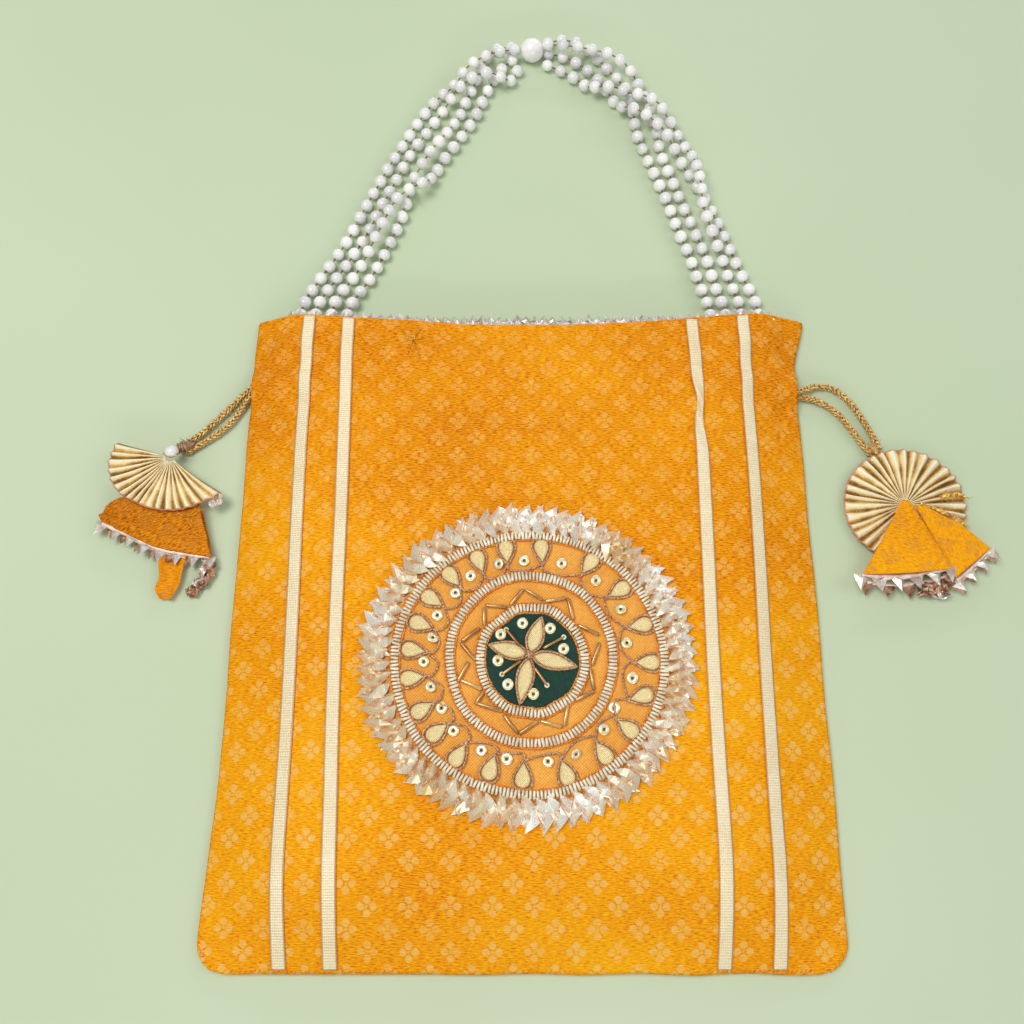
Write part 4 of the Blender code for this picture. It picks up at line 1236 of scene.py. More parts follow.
def mouth_lace(name, node, front):
    xs = np.linspace(-93.0, 93.0, 220)
    base = lip_y(xs, front)
    if front:
        zs = front_height(xs, base) - PANEL_THICK - 0.35
    else:
        zs = np.full_like(xs, PANEL_THICK + 0.8)
    band_rows = [np.stack([xs, base + lift, zs + rise], axis=1)
                 for lift, rise in ((-6.0, 0.0), (-3.0, -0.1), (-0.8, 0.1), (0.4, 0.0))]
    band = mesh_object(name, np.concatenate(band_rows), grid_faces(len(band_rows), len(xs)))
    band = thicken(band, 0.35, 0.0)
    band.data.materials.append(silver_lace)
    teeth = row(name + "_points", np.stack([xs, base + 0.3, zs + 0.1], axis=1), lace_point, 3.5, silver_lace,
                spread=(18.0, 14.0, 9.0), size_spread=0.14, seed=41 if front else 42)
    join_into(band, [teeth])
    return dress(band, silver_lace, "silver_trim", node)


mouth_lace("front_mouth_lace", "mouth_lace_front", True)
mouth_lace("back_mouth_lace", "mouth_lace_back", False)


# %% Rolled lip and oversewn seams
def lip_roll(name, front, height, radius):
    xs = np.linspace(-106.0, 106.5, 240)
    ys = lip_y(xs, front) - 0.15
    left, right = side_edges(ys)
    xs = np.clip(xs, left + 0.4, right - 0.4)
    route = np.stack([xs, ys + 0.25 * waves(xs, ys, 26.0, 15), height(xs, ys) - 0.5 * PANEL_THICK], axis=1)
    points, faces = tube_parts(route, radius, 8, False, 0.8)
    made = mesh_object(name, points, faces, uvs=points[:, :2])
    return dress(made, brocade, "brocade")


lip_roll("front_lip_roll", True, front_height, 0.75)
lip_roll("back_lip_roll", False, back_height, 0.55)

seam_stitch = pattern("seam_stitch", [tube_parts(
    [(-0.4, -0.5, 0.0), (-0.2, -0.2, 0.3), (0.2, 0.3, 0.32), (0.4, 0.5, 0.1)], 0.14, 5)])
edge_ys = np.linspace(BOTTOM_Y + 1.0, 74.0, 260)
seam_edges = side_edges(edge_ys)
rim = []
for sign, edge in ((1.0, seam_edges[0]), (-1.0, seam_edges[1])):
    rim.append(np.stack([edge + sign * 1.0, edge_ys, np.full_like(edge_ys, EDGE_TOP + 0.1)], axis=1))
foot_xs = np.linspace(-98.0, 91.0, 240)
foot = np.stack([foot_xs, np.full_like(foot_xs, BOTTOM_Y + 0.9), np.full_like(foot_xs, EDGE_TOP + 0.1)], axis=1)
seam = row("oversewn_bottom", foot, seam_stitch, 1.5, orange_thread, spread=(6.0, 6.0, 24.0),
           size_spread=0.2, seed=51)
for i, line in enumerate(rim):
    side = row("oversewn_side", line, seam_stitch, 2.1, orange_thread, spread=(6.0, 6.0, 26.0), size_spread=0.2,
               seed=52 + i)
    join_into(seam, [side])
seam.name = "oversewn_seams"
dress(seam, orange_thread, "brocade")


# %% Running stitches of the casing
def running_stitches(name, y, seed, finish):
    xs = np.linspace(-101.0, 98.0, 300)
    ys = y + 0.35 * waves(xs, xs * 0.0, 60.0, seed)
    route = np.stack([xs, ys, front_height(xs, ys) + 0.03], axis=1)
    stitch = pattern("stitch", [pebble_parts(1.05, 0.17, 0.17, 4, 5)])
    made = row(name, route, stitch, 3.1, finish, spread=(0.0, 4.0, 5.0), size_spread=0.12, seed=seed)
    return dress(made, finish, "brocade")


running_stitches("casing_stitches_upper", 91.7, 61, orange_thread)
running_stitches("casing_stitches_lower", 66.5, 62, orange_thread)

# %% Loose yellow threads near the mouth
def loose_thread(name, places, radius, finish, slot="brocade"):
    """A thread lying on the front cloth, through plan positions."""
    flat = smooth_route([(x, y, 0.0) for x, y in places], 0.8)
    flat[:, 2] = front_height(flat[:, 0], flat[:, 1]) + radius + 0.1 + 0.25 * np.sin(flat[:, 0] * 0.9) ** 2
    return dress(closed_tube(name, flat, radius, 5), finish, slot)


loose_thread("loose_thread_long",
             ((-49.3, 108.5), (-47.0, 106.0), (-44.6, 103.6), (-43.0, 99.0), (-41.8, 96.4)), 0.2, gold_thread)
loose_thread("loose_thread_short", ((-41.6, 109.6), (-43.4, 106.4), (-45.2, 102.0), (-46.8, 96.8)),
             0.2, gold_thread)
loose_thread("loose_thread_bar", ((-47.4, 103.2), (-43.6, 104.0), (-40.2, 103.4)), 0.16, gold_thread)

# %% [markdown]
# ### Ribbons
# Four cream tissue ribbons run down the front, two on each side. Each is a strip that
# follows the swell of the cloth, with a slightly raised middle. The inner right one was
# caught in the casing stitches, so it narrows and twists for a short way.

# %% Ribbons
RIBBON_W = 4.8


def ribbon_strip(name, node, top_x, bottom_x, caught=False):
    across = np.linspace(-1.0, 1.0, 9)
    top = float(lip_y(np.array(top_x), True)) - 0.6
    points = []
    uvs = []
    ys = np.linspace(BOTTOM_Y + 1.4, top, 330)
    for y in ys:
        share = (y - BOTTOM_Y) / (FRONT_LIP_Y - BOTTOM_Y)
        centre = bottom_x + (top_x - bottom_x) * share + 0.25 * math.sin(y * 0.045 + top_x)
        nip = math.exp(-((y - 74.0) / 9.0) ** 2) if caught else 0.0
        centre += 1.1 * nip * math.sin((y - 74.0) * 0.16)
        wide = 0.5 * RIBBON_W * (1.0 - 0.45 * nip)
        x = centre + wide * across
        roll = 0.9 * nip * np.sin(across * 2.2 + (y - 74.0) * 0.3)
        z = front_height(x, np.full_like(x, y)) + 0.75 + 0.12 * (1.0 - across ** 4) + roll
        z += 0.05 * math.sin(y * 0.6 + top_x) * across
        points.append(np.stack([x, np.full_like(x, y), z], axis=1))
        uvs.append(np.stack([0.5 * RIBBON_W * across, np.full_like(x, y)], axis=1))
    strip = mesh_object(name, np.concatenate(points), grid_faces(len(ys), len(across)), uvs=np.concatenate(uvs))
    strip = thicken(strip, 0.45)
    return dress(strip, ribbon, "ribbon", node)


ribbon_strip("ribbon_far_left", "ribbon_left_outer", -85.5, -82.6)
ribbon_strip("ribbon_near_left", "ribbon_left_inner", -69.9, -66.0)
ribbon_strip("ribbon_near_right", "ribbon_right_inner", 62.3, 61.4, caught=True)
ribbon_strip("ribbon_far_right", "ribbon_right_outer", 81.8, 79.3)
print("ribbons on")

# %% [markdown]
# ## The medallion
# The medallion is worked on its own round of matte orange cloth and then sewn on. From
# the rim inwards it has a border of folded metal leaves in two overlapping rows, a ring
# of short tube beads, 21 padded drops joined by one couched cord, a second bead ring, a
# zig-zag of bugle beads, a third bead ring and a dark green centre with a flower. It is
# hand work, so no ring is a true circle and nothing repeats exactly.

# %% Rings of the medallion
CLOTH_TOP = PUFF_TOP + GAP + 0.4
BEAD_BASE = CLOTH_TOP + GAP
RINGS = {"outer": (45.9, 44.4, -0.3, 0.2), "middle": (28.0, 28.8, 0.3, 1.0), "inner": (17.9, 18.1, 0.7, 0.3)}


def on_medallion(x, y, z=0.0):
    """A point given from the medallion's middle, in the bag's own frame."""
    return (MEDALLION_X + x, MEDALLION_Y + y, z)


def ring_route(size, z, count=240, wobble=0.0, seed=1, start=0.0, grow_by=0.0):
    """An oval round the medallion, a little uneven."""
    wide, tall, cx, cy = size
    angles = start + np.linspace(0.0, 2.0 * np.pi, count, endpoint=False)
    uneven = wobble * waves(np.cos(angles) * 30.0, np.sin(angles) * 30.0, 24.0, seed) + grow_by
    xs = MEDALLION_X + cx + (wide + uneven) * np.cos(angles)
    ys = MEDALLION_Y + cy + (tall + uneven) * np.sin(angles)
    return np.stack([xs, ys, np.full_like(xs, z)], axis=1)


def disc(name, rim, z, sag=0.0, rings=26):
    """A round of cloth inside a rim, slightly domed."""
    rim = np.asarray(rim)
    middle = rim.mean(axis=0)
    middle[2] = z
    points = [middle]
    for r in range(1, rings + 1):
        share = r / rings
        loop = middle + (rim - middle) * share
        loop[:, 2] = z + sag * waves(loop[:, 0], loop[:, 1], 22.0, 71) * (1.0 - share ** 4)
        points.extend(loop)
    count = len(rim)
    faces = [(0, 1 + k, 1 + (k + 1) % count) for k in range(count)]
    for r in range(rings - 1):
        a = 1 + r * count
        b = a + count
        faces += [(a + k, b + k, b + (k + 1) % count, a + (k + 1) % count) for k in range(count)]
    points = np.array([tuple(p) for p in points])
    return mesh_object(name, points, faces, uvs=points[:, :2])


patch = thicken(disc("patch_round", ring_route((49.6, 48.0, -0.4, 0.1), 0.0, 160), CLOTH_TOP, 0.12), 0.4)
dress(patch, patch_cloth, "patch_cloth", "medallion_cloth")
print("patch:", len(patch.data.polygons), "faces")

# %% [markdown]
# ### Leaf border
# Each leaf is a square of metal tissue folded to a point. The long outer leaves lean over
# one another like tiles; shorter ones stand on top of them further in. A row of marks
# carries each leaf's place, turn and size, with a small chance in all three, so every
# leaf catches the light in its own way. Orange thread holds them down in a zig-zag.

# %% Leaves
LEAVES = 74
LEAF_SQUASH = 0.955
outer_leaf = pattern("outer_leaf", [folded_leaf(13.0, 5.6, 2.9, 0.1)], smooth=False)
inner_leaf = pattern("inner_leaf", [folded_leaf(8.8, 4.9, 2.4, -0.1)], smooth=False)
tuck_leaf = pattern("tuck_leaf", [folded_leaf(6.0, 3.4, 1.5, 0.2)], smooth=False)


def leaf_marks(radius, shift, z, lean, rng, jitter, count=LEAVES, keep=1.0):
    marks = []
    for i in range(count):
        if rng.uniform() > keep:
            continue
        angle = 2.0 * math.pi * (i + shift + rng.uniform(-0.1, 0.1)) / count
        r = radius + rng.uniform(-0.7, 0.7)
        place = on_medallion(-0.9 + r * math.cos(angle), 0.1 + LEAF_SQUASH * r * math.sin(angle),
                             z + rng.uniform(-0.1, 0.35))
        turn = (math.radians(rng.uniform(-jitter, jitter)), math.radians(rng.uniform(-22.0, 22.0)),
                angle - 0.5 * math.pi + math.radians(lean + rng.uniform(-7.0, 7.0)))
        stretch = rng.uniform(0.88, 1.12)
        marks.append((place, turn, (rng.uniform(0.85, 1.15), stretch, rng.uniform(0.8, 1.25))))
    return marks


leaf_chance = np.random.default_rng(81)
leaf_rows = []
for title, radius, shift, rise, lean, jitter, leaf in (
        ("leaf_border", 53.2, 0.0, 0.7, -24.0, 7.0, outer_leaf),
        ("leaf_upper", 50.9, 0.5, 1.7, 20.0, 9.0, inner_leaf),
        ("leaf_tucks", 55.3, 0.5, 0.6, 26.0, 9.0, tuck_leaf)):
    marks = leaf_marks(radius, shift, PUFF_TOP + rise, lean, leaf_chance, jitter)
    leaf_rows.append(at_marks(title, marks, leaf, silver_leaf))
border = leaf_rows[0]
join_into(border, leaf_rows[1:])
dress(border, silver_leaf, "silver_trim", "petal_border")
print("leaf border:", len(border.data.polygons), "faces")


# %% Thread over the leaves
def zigzag_route(low, high, count, z_low, z_high, rng):
    places = []
    for i in range(2 * count):
        r = (low if i % 2 == 0 else high) + rng.uniform(-0.6, 0.6)
        angle = math.pi * (i + rng.uniform(-0.2, 0.2)) / count
        places.append(on_medallion(-0.9 + r * math.cos(angle), 0.1 + LEAF_SQUASH * r * math.sin(angle),
                                   z_low if i % 2 == 0 else z_high))
    return np.array(places)


thread_chance = np.random.default_rng(82)
holding = shape_object("leaf_thread", [
    tube_parts(zigzag_route(48.8, 54.6, LEAVES, PUFF_TOP + 2.6, PUFF_TOP + 3.0, thread_chance), 0.2, 5, True),
    tube_parts(zigzag_route(50.6, 57.6, LEAVES, PUFF_TOP + 2.9, PUFF_TOP + 1.5, thread_chance), 0.18, 5, True)])
dress(holding, orange_thread, "patch_cloth")

# %% [markdown]
# ### Bead rings
# Short silver tube beads lie across each ring like the teeth of a cog, edged on both
# sides with orange chain stitch. The row tree turns each bead to face along its ring.

# %% Bead rings
tube_bead = pattern("tube_bead", [bead_bar(2.95, 1.02)])
edge_loop = pattern("edge_loop", [pebble_parts(0.72, 0.32, 0.3, 4, 6, (0.0, 0.0, 0.0), math.radians(16.0))])


def bead_ring(node, pitch, start, seed):
    size = RINGS[node]
    z = BEAD_BASE + 0.75
    line = ring_route(size, z, 300, 0.35, seed, start)
    beads = row("tube_beads_" + node, line, tube_bead, pitch, silver_bead, closed=True,
                spread=(6.0, 14.0, 9.0), size_spread=0.07, seed=seed)
    edges = []
    for i, out in enumerate((-1.72, 1.78)):
        line = ring_route(size, z - 0.35, 300, 0.35, seed, start, out)
        edges.append(row("edge", line, edge_loop, 1.15, orange_thread, closed=True, spread=(10.0, 10.0, 16.0),
                         size_spread=0.2, seed=seed + 1 + i))
    join_into(beads, edges)
    dress(beads, silver_bead, "bead_metal", "bead_ring_" + node)
    print(beads.name, len(beads.data.polygons), "faces")


bead_ring("outer", 1.24, math.radians(152.0), 91)
bead_ring("middle", 1.24, math.radians(148.0), 94)
bead_ring("inner", 1.22, math.radians(168.0), 97)

# %% [markdown]
# ### Drops, cord and sequins
# A drop is a padded teardrop of gold tissue, its point towards the middle. One cord is
# couched round each drop, crosses at its point, and swings down to the bead ring on the
# way to the next. The drops' places are listed from the medallion's middle: the round
# end's middle, then the point's side.

# %% Places of the drops
DROPS = ((4.2, 39.2, 4.5, 34.4), (21.2, 34.4, 18.4, 30.5), (31.4, 24.7, 27.8, 22.5), (38.3, 12.3, 33.9, 11.5),
         (40.3, -0.6, 36.1, -0.6), (37.8, -12.0, 34.4, -12.9), (32.7, -22.8, 29.5, -20.3),
         (24.2, -30.9, 21.8, -27.3), (11.7, -37.4, 10.1, -33.0), (-2.6, -38.2, -2.3, -33.0),
         (-13.3, -35.8, -11.8, -31.3), (-24.1, -31.7, -21.8, -28.1), (-31.4, -24.0, -28.2, -21.6),
         (-36.6, -16.6, -32.9, -14.3), (-40.3, -5.9, -35.7, -5.3), (-40.2, 3.7, -35.5, 3.0),
         (-37.9, 12.8, -34.0, 11.3), (-34.2, 21.6, -30.7, 19.4), (-27.4, 29.6, -24.8, 26.5),
         (-18.0, 35.3, -16.7, 31.9), (-8.2, 38.9, -7.8, 34.1))
SEQUINS = ((-2.0, 35.3), (11.2, 34.3), (23.1, 28.1), (31.3, 17.8), (33.1, 6.1), (34.6, -5.9), (28.1, -15.9),
           (24.5, -23.0), (15.0, -31.2), (5.7, -33.4), (-8.0, -32.6), (-16.4, -29.8), (-25.8, -23.4),
           (-29.9, -15.9), (-33.6, -8.9), (-36.3, -0.3), (-33.3, 7.9), (-32.0, 15.8), (-25.9, 23.8),
           (-20.7, 29.8), (-10.9, 34.0))
TILTED_SEQUINS = (3, 8, 14, 16, 20)


def drop_outline(length, width, count):
    """Teardrop with its point towards -X and its round end towards +X."""
    outline = []
    for i in range(count):
        turn = 2.0 * math.pi * i / count
        along = math.cos(turn)
        across = math.sin(turn) * max(0.0, 0.5 + 0.5 * along) ** 0.62
        outline.append((0.5 * length * along, 0.64 * width * across))
    return outline


def pad_parts(outline, cx, cy, angle, base, height):
    """A padded shape: full at its foot, rounded over, closed on top and below."""
    levels = [(1.0, 0.0), (1.02, 0.35), (0.94, 0.66), (0.76, 0.88), (0.5, 0.98), (0.2, 1.0)]
    c, s = math.cos(angle), math.sin(angle)
    points = []
    for share, rise in levels:
        for x, y in outline:
            points.append((cx + share * (x * c - y * s), cy + share * (x * s + y * c), base + rise * height))
    count = len(outline)
    faces = grid_faces(len(levels), count, True)
    faces.append(tuple((len(levels) - 1) * count + k for k in range(count)))
    faces.append(tuple(reversed(range(count))))
    return outward((points, faces))


# %% Padded drops
DROP_LONG = 8.3
DROP_WIDE = 5.5
drop_parts = []
DROP_TURNS = []
for i, (x, y, tip_x, tip_y) in enumerate(DROPS):
    angle = math.atan2(y - tip_y, x - tip_x)
    DROP_TURNS.append(angle)
    cx, cy, _ = on_medallion(x - 0.4 * math.cos(angle), y - 0.4 * math.sin(angle))
    drop_parts.append(pad_parts(drop_outline(DROP_LONG, DROP_WIDE, 22), cx, cy, angle, BEAD_BASE, 1.25))
drops = shape_object("padded_drops", drop_parts)
dress(drops, gilt_pad, "gilt_cloth", *["teardrop_%02d" % (i + 1) for i in range(21)])


# %% The couched cord
def twisted_cord(name, routes, thick, pitch, closed=False):
    """Two strands twisted round each other along each route."""
    parts = []
    for route in routes:
        route = np.asarray(route, dtype=float)
        steps = np.linalg.norm(np.diff(route, axis=0), axis=1)
        far = np.concatenate([[0.0], np.cumsum(steps)])
        along = np.gradient(route, axis=0)
        along /= np.maximum(np.linalg.norm(along, axis=1), 1e-9)[:, None]
        side = np.cross(along, (0.0, 0.0, 1.0))
        up = np.array((0.0, 0.0, 1.0))
        turns = round(far[-1] / pitch)
        for half in (0.0, math.pi):
            a = half + 2.0 * np.pi * far / far[-1] * turns
            strand = route + 0.24 * thick * (np.cos(a)[:, None] * side + np.sin(a)[:, None] * up)
            parts.append(tube_parts(strand, 0.27 * thick, 6, closed))
    return shape_object(name, parts)


def scroll_route():
    """Round each drop, across its point and down towards the ring between two drops."""
    order = sorted(range(len(DROPS)), key=lambda i: -math.atan2(DROPS[i][1], DROPS[i][0]))
    corners = []
    rng = np.random.default_rng(101)
    for j, i in enumerate(order):
        x, y = DROPS[i][:2]
        nx, ny = DROPS[order[(j + 1) % len(order)]][:2]
        angle = DROP_TURNS[i]
        c, s = math.cos(angle), math.sin(angle)
        outline = drop_outline(DROP_LONG + 1.7, DROP_WIDE + 1.5, 18)
        start = 9
        loop = [outline[(start - k) % 18] for k in range(1, 18)]
        for px, py in loop:
            corners.append((x - 0.4 * c + px * c - py * s, y - 0.4 * s + px * s + py * c, 0.2))
        corners[-16] = (*corners[-16][:2], 0.25)
        mx, my = 0.5 * (x + nx), 0.5 * (y + ny)
        reach = math.hypot(mx, my)
        low = 31.2 + rng.uniform(-0.4, 0.6)
        tip = (x - 5.6 * c, y - 5.6 * s)
        corners.append((tip[0] * 0.92 + mx * 0.03, tip[1] * 0.92 + my * 0.03, 0.7))
        corners.append((mx * low / reach, my * low / reach, 0.1))
    corners.append(corners[0])
    flat = smooth_route([on_medallion(x, y, BEAD_BASE + 0.35 + z) for x, y, z in corners], 0.42)
    return flat


scroll = twisted_cord("couched_scroll", [scroll_route()], 1.0, 1.3)
dress(scroll, rose_cord, "gilt_cloth")
print("scroll:", len(scroll.data.polygons), "faces")


# %% Sequins
def sequin_parts(outer=2.0, hole=0.42, cup=0.2, thick=0.14, sides=22):
    rings = ((hole, 0.0), (0.55 * outer, 0.3 * cup), (outer, cup), (outer, cup + thick),
             (0.55 * outer, 0.3 * cup + thick), (hole, thick))
    points = []
    for r, z in rings:
        for k in range(sides):
            turn = 2.0 * math.pi * k / sides
            points.append((r * math.cos(turn), r * math.sin(turn), z))
    faces = grid_faces(len(rings), sides, True)
    last = (len(rings) - 1) * sides
    faces += [(last + k, last + (k + 1) % sides, (k + 1) % sides, k) for k in range(sides)]
    return outward((points, faces))


sequin = pattern("sequin", [sequin_parts()])
sequin_chance = np.random.default_rng(111)
outer_marks = []
for i, (x, y) in enumerate(SEQUINS):
    tip = 34.0 if i in TILTED_SEQUINS else 7.0
    turn = [math.radians(sequin_chance.uniform(-tip, tip)) for _ in range(2)]
    size = sequin_chance.uniform(0.93, 1.06)
    rise = 0.85 if i in TILTED_SEQUINS else 0.25
    outer_marks.append((on_medallion(x, y, BEAD_BASE + rise), (*turn, 0.0), (size,) * 3))
sequins = at_marks("gold_sequins", outer_marks, sequin, sequin_gilt)
dress(sequins, sequin_gilt, "bead_metal")
sequin_knot = pattern("sequin_knot", [pebble_parts(0.55, 0.42, 0.35, 5, 7)])


def knot_sequins(name, marks, turn, size):
    """A knot painted dark in the hole of each sequin, standing for the shade in the hole."""
    places = [((x, y, z + 0.1), (0.0, 0.0, turn), (size, size, 1.0)) for (x, y, z), _, _ in marks]
    return dress(at_marks(name, places, sequin_knot, gap_shade_dark), gap_shade_dark, "bead_metal")


knot_sequins("sequin_knots", outer_marks, 0.9, 1.0)

# %% [markdown]
# ### Bugle zig-zag and green centre
# Twenty bugle beads make an uneven star between the two inner rings; both ends of each
# are listed. The centre is a green round with four padded petals, four bugles with a
# small bead at their ends, and seven sequins.

# %% Bugles
BUGLES = ((-6.9, 19.2, -2.5, 24.9), (-1.7, 24.9, 4.4, 21.1), (5.2, 20.6, 12.5, 21.8),
          (13.1, 21.8, 14.8, 14.3), (16.5, 12.3, 23.5, 8.9), (23.7, 6.1, 21.0, -1.5),
          (20.3, -2.5, 21.3, -9.8), (21.5, -10.3, 15.0, -13.4), (12.6, -14.5, 11.2, -21.9),
          (10.5, -22.2, 3.2, -20.3), (2.3, -20.4, -4.0, -24.5), (-4.5, -24.2, -9.0, -18.3),
          (-9.4, -17.0, -18.0, -14.5), (-18.5, -14.8, -16.0, -10.6), (-16.3, -9.7, -23.6, -6.7),
          (-24.5, -7.0, -21.0, -0.4), (-18.8, 0.1, -23.8, 6.1), (-23.5, 6.6, -17.4, 11.3),
          (-15.8, 11.9, -15.9, 18.5), (-15.4, 19.2, -8.1, 18.7))
CENTRE_BUGLES = ((-8.2, 10.6, -3.3, 4.7), (11.5, 8.0, 4.5, 4.2), (5.6, -8.4, 1.4, -2.5),
                 (-9.6, -4.7, -3.1, -0.1))
bugle = pattern("bugle", [bead_bar(1.0, 1.0, 8)])


def bugle_marks(ends, z, width):
    marks = []
    for ax, ay, bx, by in ends:
        long = math.hypot(bx - ax, by - ay)
        turn = math.atan2(by - ay, bx - ax) - 0.5 * math.pi
        middle = on_medallion(0.5 * (ax + bx), 0.5 * (ay + by), z)
        marks.append((middle, (0.0, 0.0, turn), (width, 1.02 * long, width)))
    return marks


star = at_marks("bugle_zigzag", bugle_marks(BUGLES, BEAD_BASE + 0.8, 1.4), bugle, bugle_gilt)
dress(star, bugle_gilt, "bead_metal", "bugle_star")
GREEN_TOP = BEAD_BASE + 0.4
green_rim = ring_route((16.4, 16.6, 0.7, 0.3), 0.0, 90, 0.3, 5)
green = thicken(disc("green_round", green_rim, GREEN_TOP, 0.1, 16), 0.4)
dress(green, green_cloth, "green_cloth", "green_centre")
centre_star = at_marks("centre_bugles", bugle_marks(CENTRE_BUGLES, GREEN_TOP + 0.65, 1.05), bugle, bugle_gilt)
dress(centre_star, bugle_gilt, "bead_metal")
bead_loop = [(0.62 * math.cos(a), 0.62 * math.sin(a), 0.0)
             for a in np.linspace(0.0, 2.0 * math.pi, 10, endpoint=False)]
end_bead = pattern("end_bead", [tube_parts(bead_loop, 0.36, 6, True)])
ends = [(on_medallion(ax, ay, GREEN_TOP + 0.5), (0.2, 0.1, 0.0), (1.0, 1.0, 1.0))
        for ax, ay, _, _ in CENTRE_BUGLES]
small_beads = at_marks("bugle_end_beads", ends, end_bead, silver_bead)
dress(small_beads, silver_bead, "bead_metal")
CENTRE_SEQUINS = ((-2.6, 12.9), (6.9, 11.1), (11.4, 4.0), (1.0, -11.3), (-7.6, -8.1), (-11.0, 0.0),
                  (-10.1, 9.0))
centre_marks = [(on_medallion(x, y, GREEN_TOP + 0.2), (0.05, -0.06, 0.3 * i), (0.97, 0.97, 1.0))
                for i, (x, y) in enumerate(CENTRE_SEQUINS)]
centre_sequins = at_marks("centre_sequins", centre_marks, sequin, sequin_gilt)
dress(centre_sequins, sequin_gilt, "bead_metal")
knot_sequins("centre_sequin_knots", centre_marks, 0.5, 0.9)

# %% The flower
FLOWER_MIDDLE = (-0.2, 1.8)
FLOWER_TIPS = ((3.9, 14.8), (15.6, -2.1), (-3.5, -14.5), (-13.9, 5.3))


def petal_outline(length, width, count):
    """A leaf pointed at both ends, with its belly nearer the flower's middle."""
    outline = []
    for i in range(count):
        turn = 2.0 * math.pi * i / count
        along = math.cos(turn)
        belly = (1.0 - along * along) ** 0.9 * (1.0 - 0.32 * along)
        outline.append((0.5 * length * along, 0.5 * width * belly * (1.0 if math.sin(turn) > 0.0 else -1.0)))
    return outline


petal_parts = []
outline_routes = []
for i, (tx, ty) in enumerate(FLOWER_TIPS):
    dx, dy = tx - FLOWER_MIDDLE[0], ty - FLOWER_MIDDLE[1]
    long = math.hypot(dx, dy)
    angle = math.atan2(dy, dx)
    cx, cy, _ = on_medallion(FLOWER_MIDDLE[0] + 0.53 * dx, FLOWER_MIDDLE[1] + 0.53 * dy)
    shape = petal_outline(0.88 * long, 4.8, 24)
    petal_parts.append(pad_parts(shape, cx, cy, angle, GREEN_TOP, 1.35))
    c, s = math.cos(angle), math.sin(angle)
    rim = [(cx + x * c - y * s, cy + x * s + y * c, GREEN_TOP + 0.5)
           for x, y in petal_outline(0.97 * long, 5.7, 24)]
    half = rim[12:] + rim[:13]
    outline_routes.append(smooth_route(half, 0.4))
flower = shape_object("flower_petals", petal_parts)
dress(flower, gilt_pad, "gilt_cloth", "flower_petal_1", "flower_petal_2", "flower_petal_3", "flower_petal_4")
flower_cord = twisted_cord("flower_cord", outline_routes, 1.0, 1.3)
dress(flower_cord, rose_cord, "gilt_cloth")
heart_place = on_medallion(*FLOWER_MIDDLE, GREEN_TOP + 1.3)
heart = shape_object("flower_heart", [pebble_parts(1.5, 0.5, 0.5, 5, 7, heart_place, a) for a in (0.3, 1.2, 2.2)])
dress(heart, rose_cord, "gilt_cloth")
print("medallion worked")

# %% [markdown]
# ## Tassels
# Both tassels are made from leftovers of the bag. Gold tissue is pleated like a paper
# fan, half a round on the left and a full rosette on the right, and a cone of brocade
# edged with folded metal points hangs from each. A pleat is a sharp fold whose height
# grows from nothing at the middle to the rim, so the fan is a grid of rings and spokes
# whose height swings up and down along the rim.

# %% Pleated tissue
def pleated_round(name, centre, start, sweep, pleats, radius_at, z_at, height, seed, steps=10, rings=22):
    """A pleated fan; radius_at and z_at give its rim and its lie for an angle in degrees."""
    rng = np.random.default_rng(seed)
    whole = sweep >= 359.0
    edges = np.cumsum(rng.uniform(0.72, 1.3, pleats))
    edges = np.concatenate([[0.0], edges / edges[-1]])
    tall = rng.uniform(0.55, 1.15, pleats + 1)
    if whole:
        tall[-1] = tall[0]
    shares = []
    profile = []
    for i in range(pleats):
        for k in range(steps):
            t = k / steps
            shares.append(edges[i] + (edges[i + 1] - edges[i]) * t)
            crest = tall[i] + (tall[i + 1] - tall[i]) * t
            fold = (1.0 - abs(2.0 * t - 1.0)) ** 1.25
            profile.append(crest * (2.0 * fold - 1.0))
    if not whole:
        shares.append(1.0)
        profile.append(-tall[-1])
    shares = np.array(shares)
    profile = np.array(profile)
    degrees = start + sweep * shares
    angles = np.radians(degrees)
    reach = np.array([radius_at(d) for d in degrees])
    lie = np.array([z_at(d) for d in degrees])
    points = []
    uvs = []
    for r in range(rings + 1):
        share = 0.07 + 0.93 * r / rings
        bend = 0.035 * np.sin(3.0 * share + angles * 2.0) * share
        radius = reach * share * (1.0 + 0.004 * profile * share ** 3)
        lift = height * share ** 0.8 * (0.75 + 0.25 * share - 0.35 * share ** 8) * profile
        x = centre[0] + radius * np.cos(angles + bend)
        y = centre[1] + radius * np.sin(angles + bend)
        z = lie + lift + 0.5 * (1.0 - share) + 0.12 * share * waves(x, y, 5.0, seed)
        points.append(np.stack([x, y, z], axis=1))
        uvs.append(np.stack([reach * (1.0 - share), 0.5 + 0.5 * profile], axis=1))
    faces = grid_faces(rings + 1, len(shares), whole)
    made = mesh_object(name, np.concatenate(points), faces, uvs=np.concatenate(uvs))
    made = face_up(made)
    return thicken(made, 0.22)


def face_up(piece):
    """Turns a sheet over if most of its faces look down."""
    if sum(p.normal.z * p.area for p in piece.data.polygons) < 0.0:
        piece.data.flip_normals()
    return piece


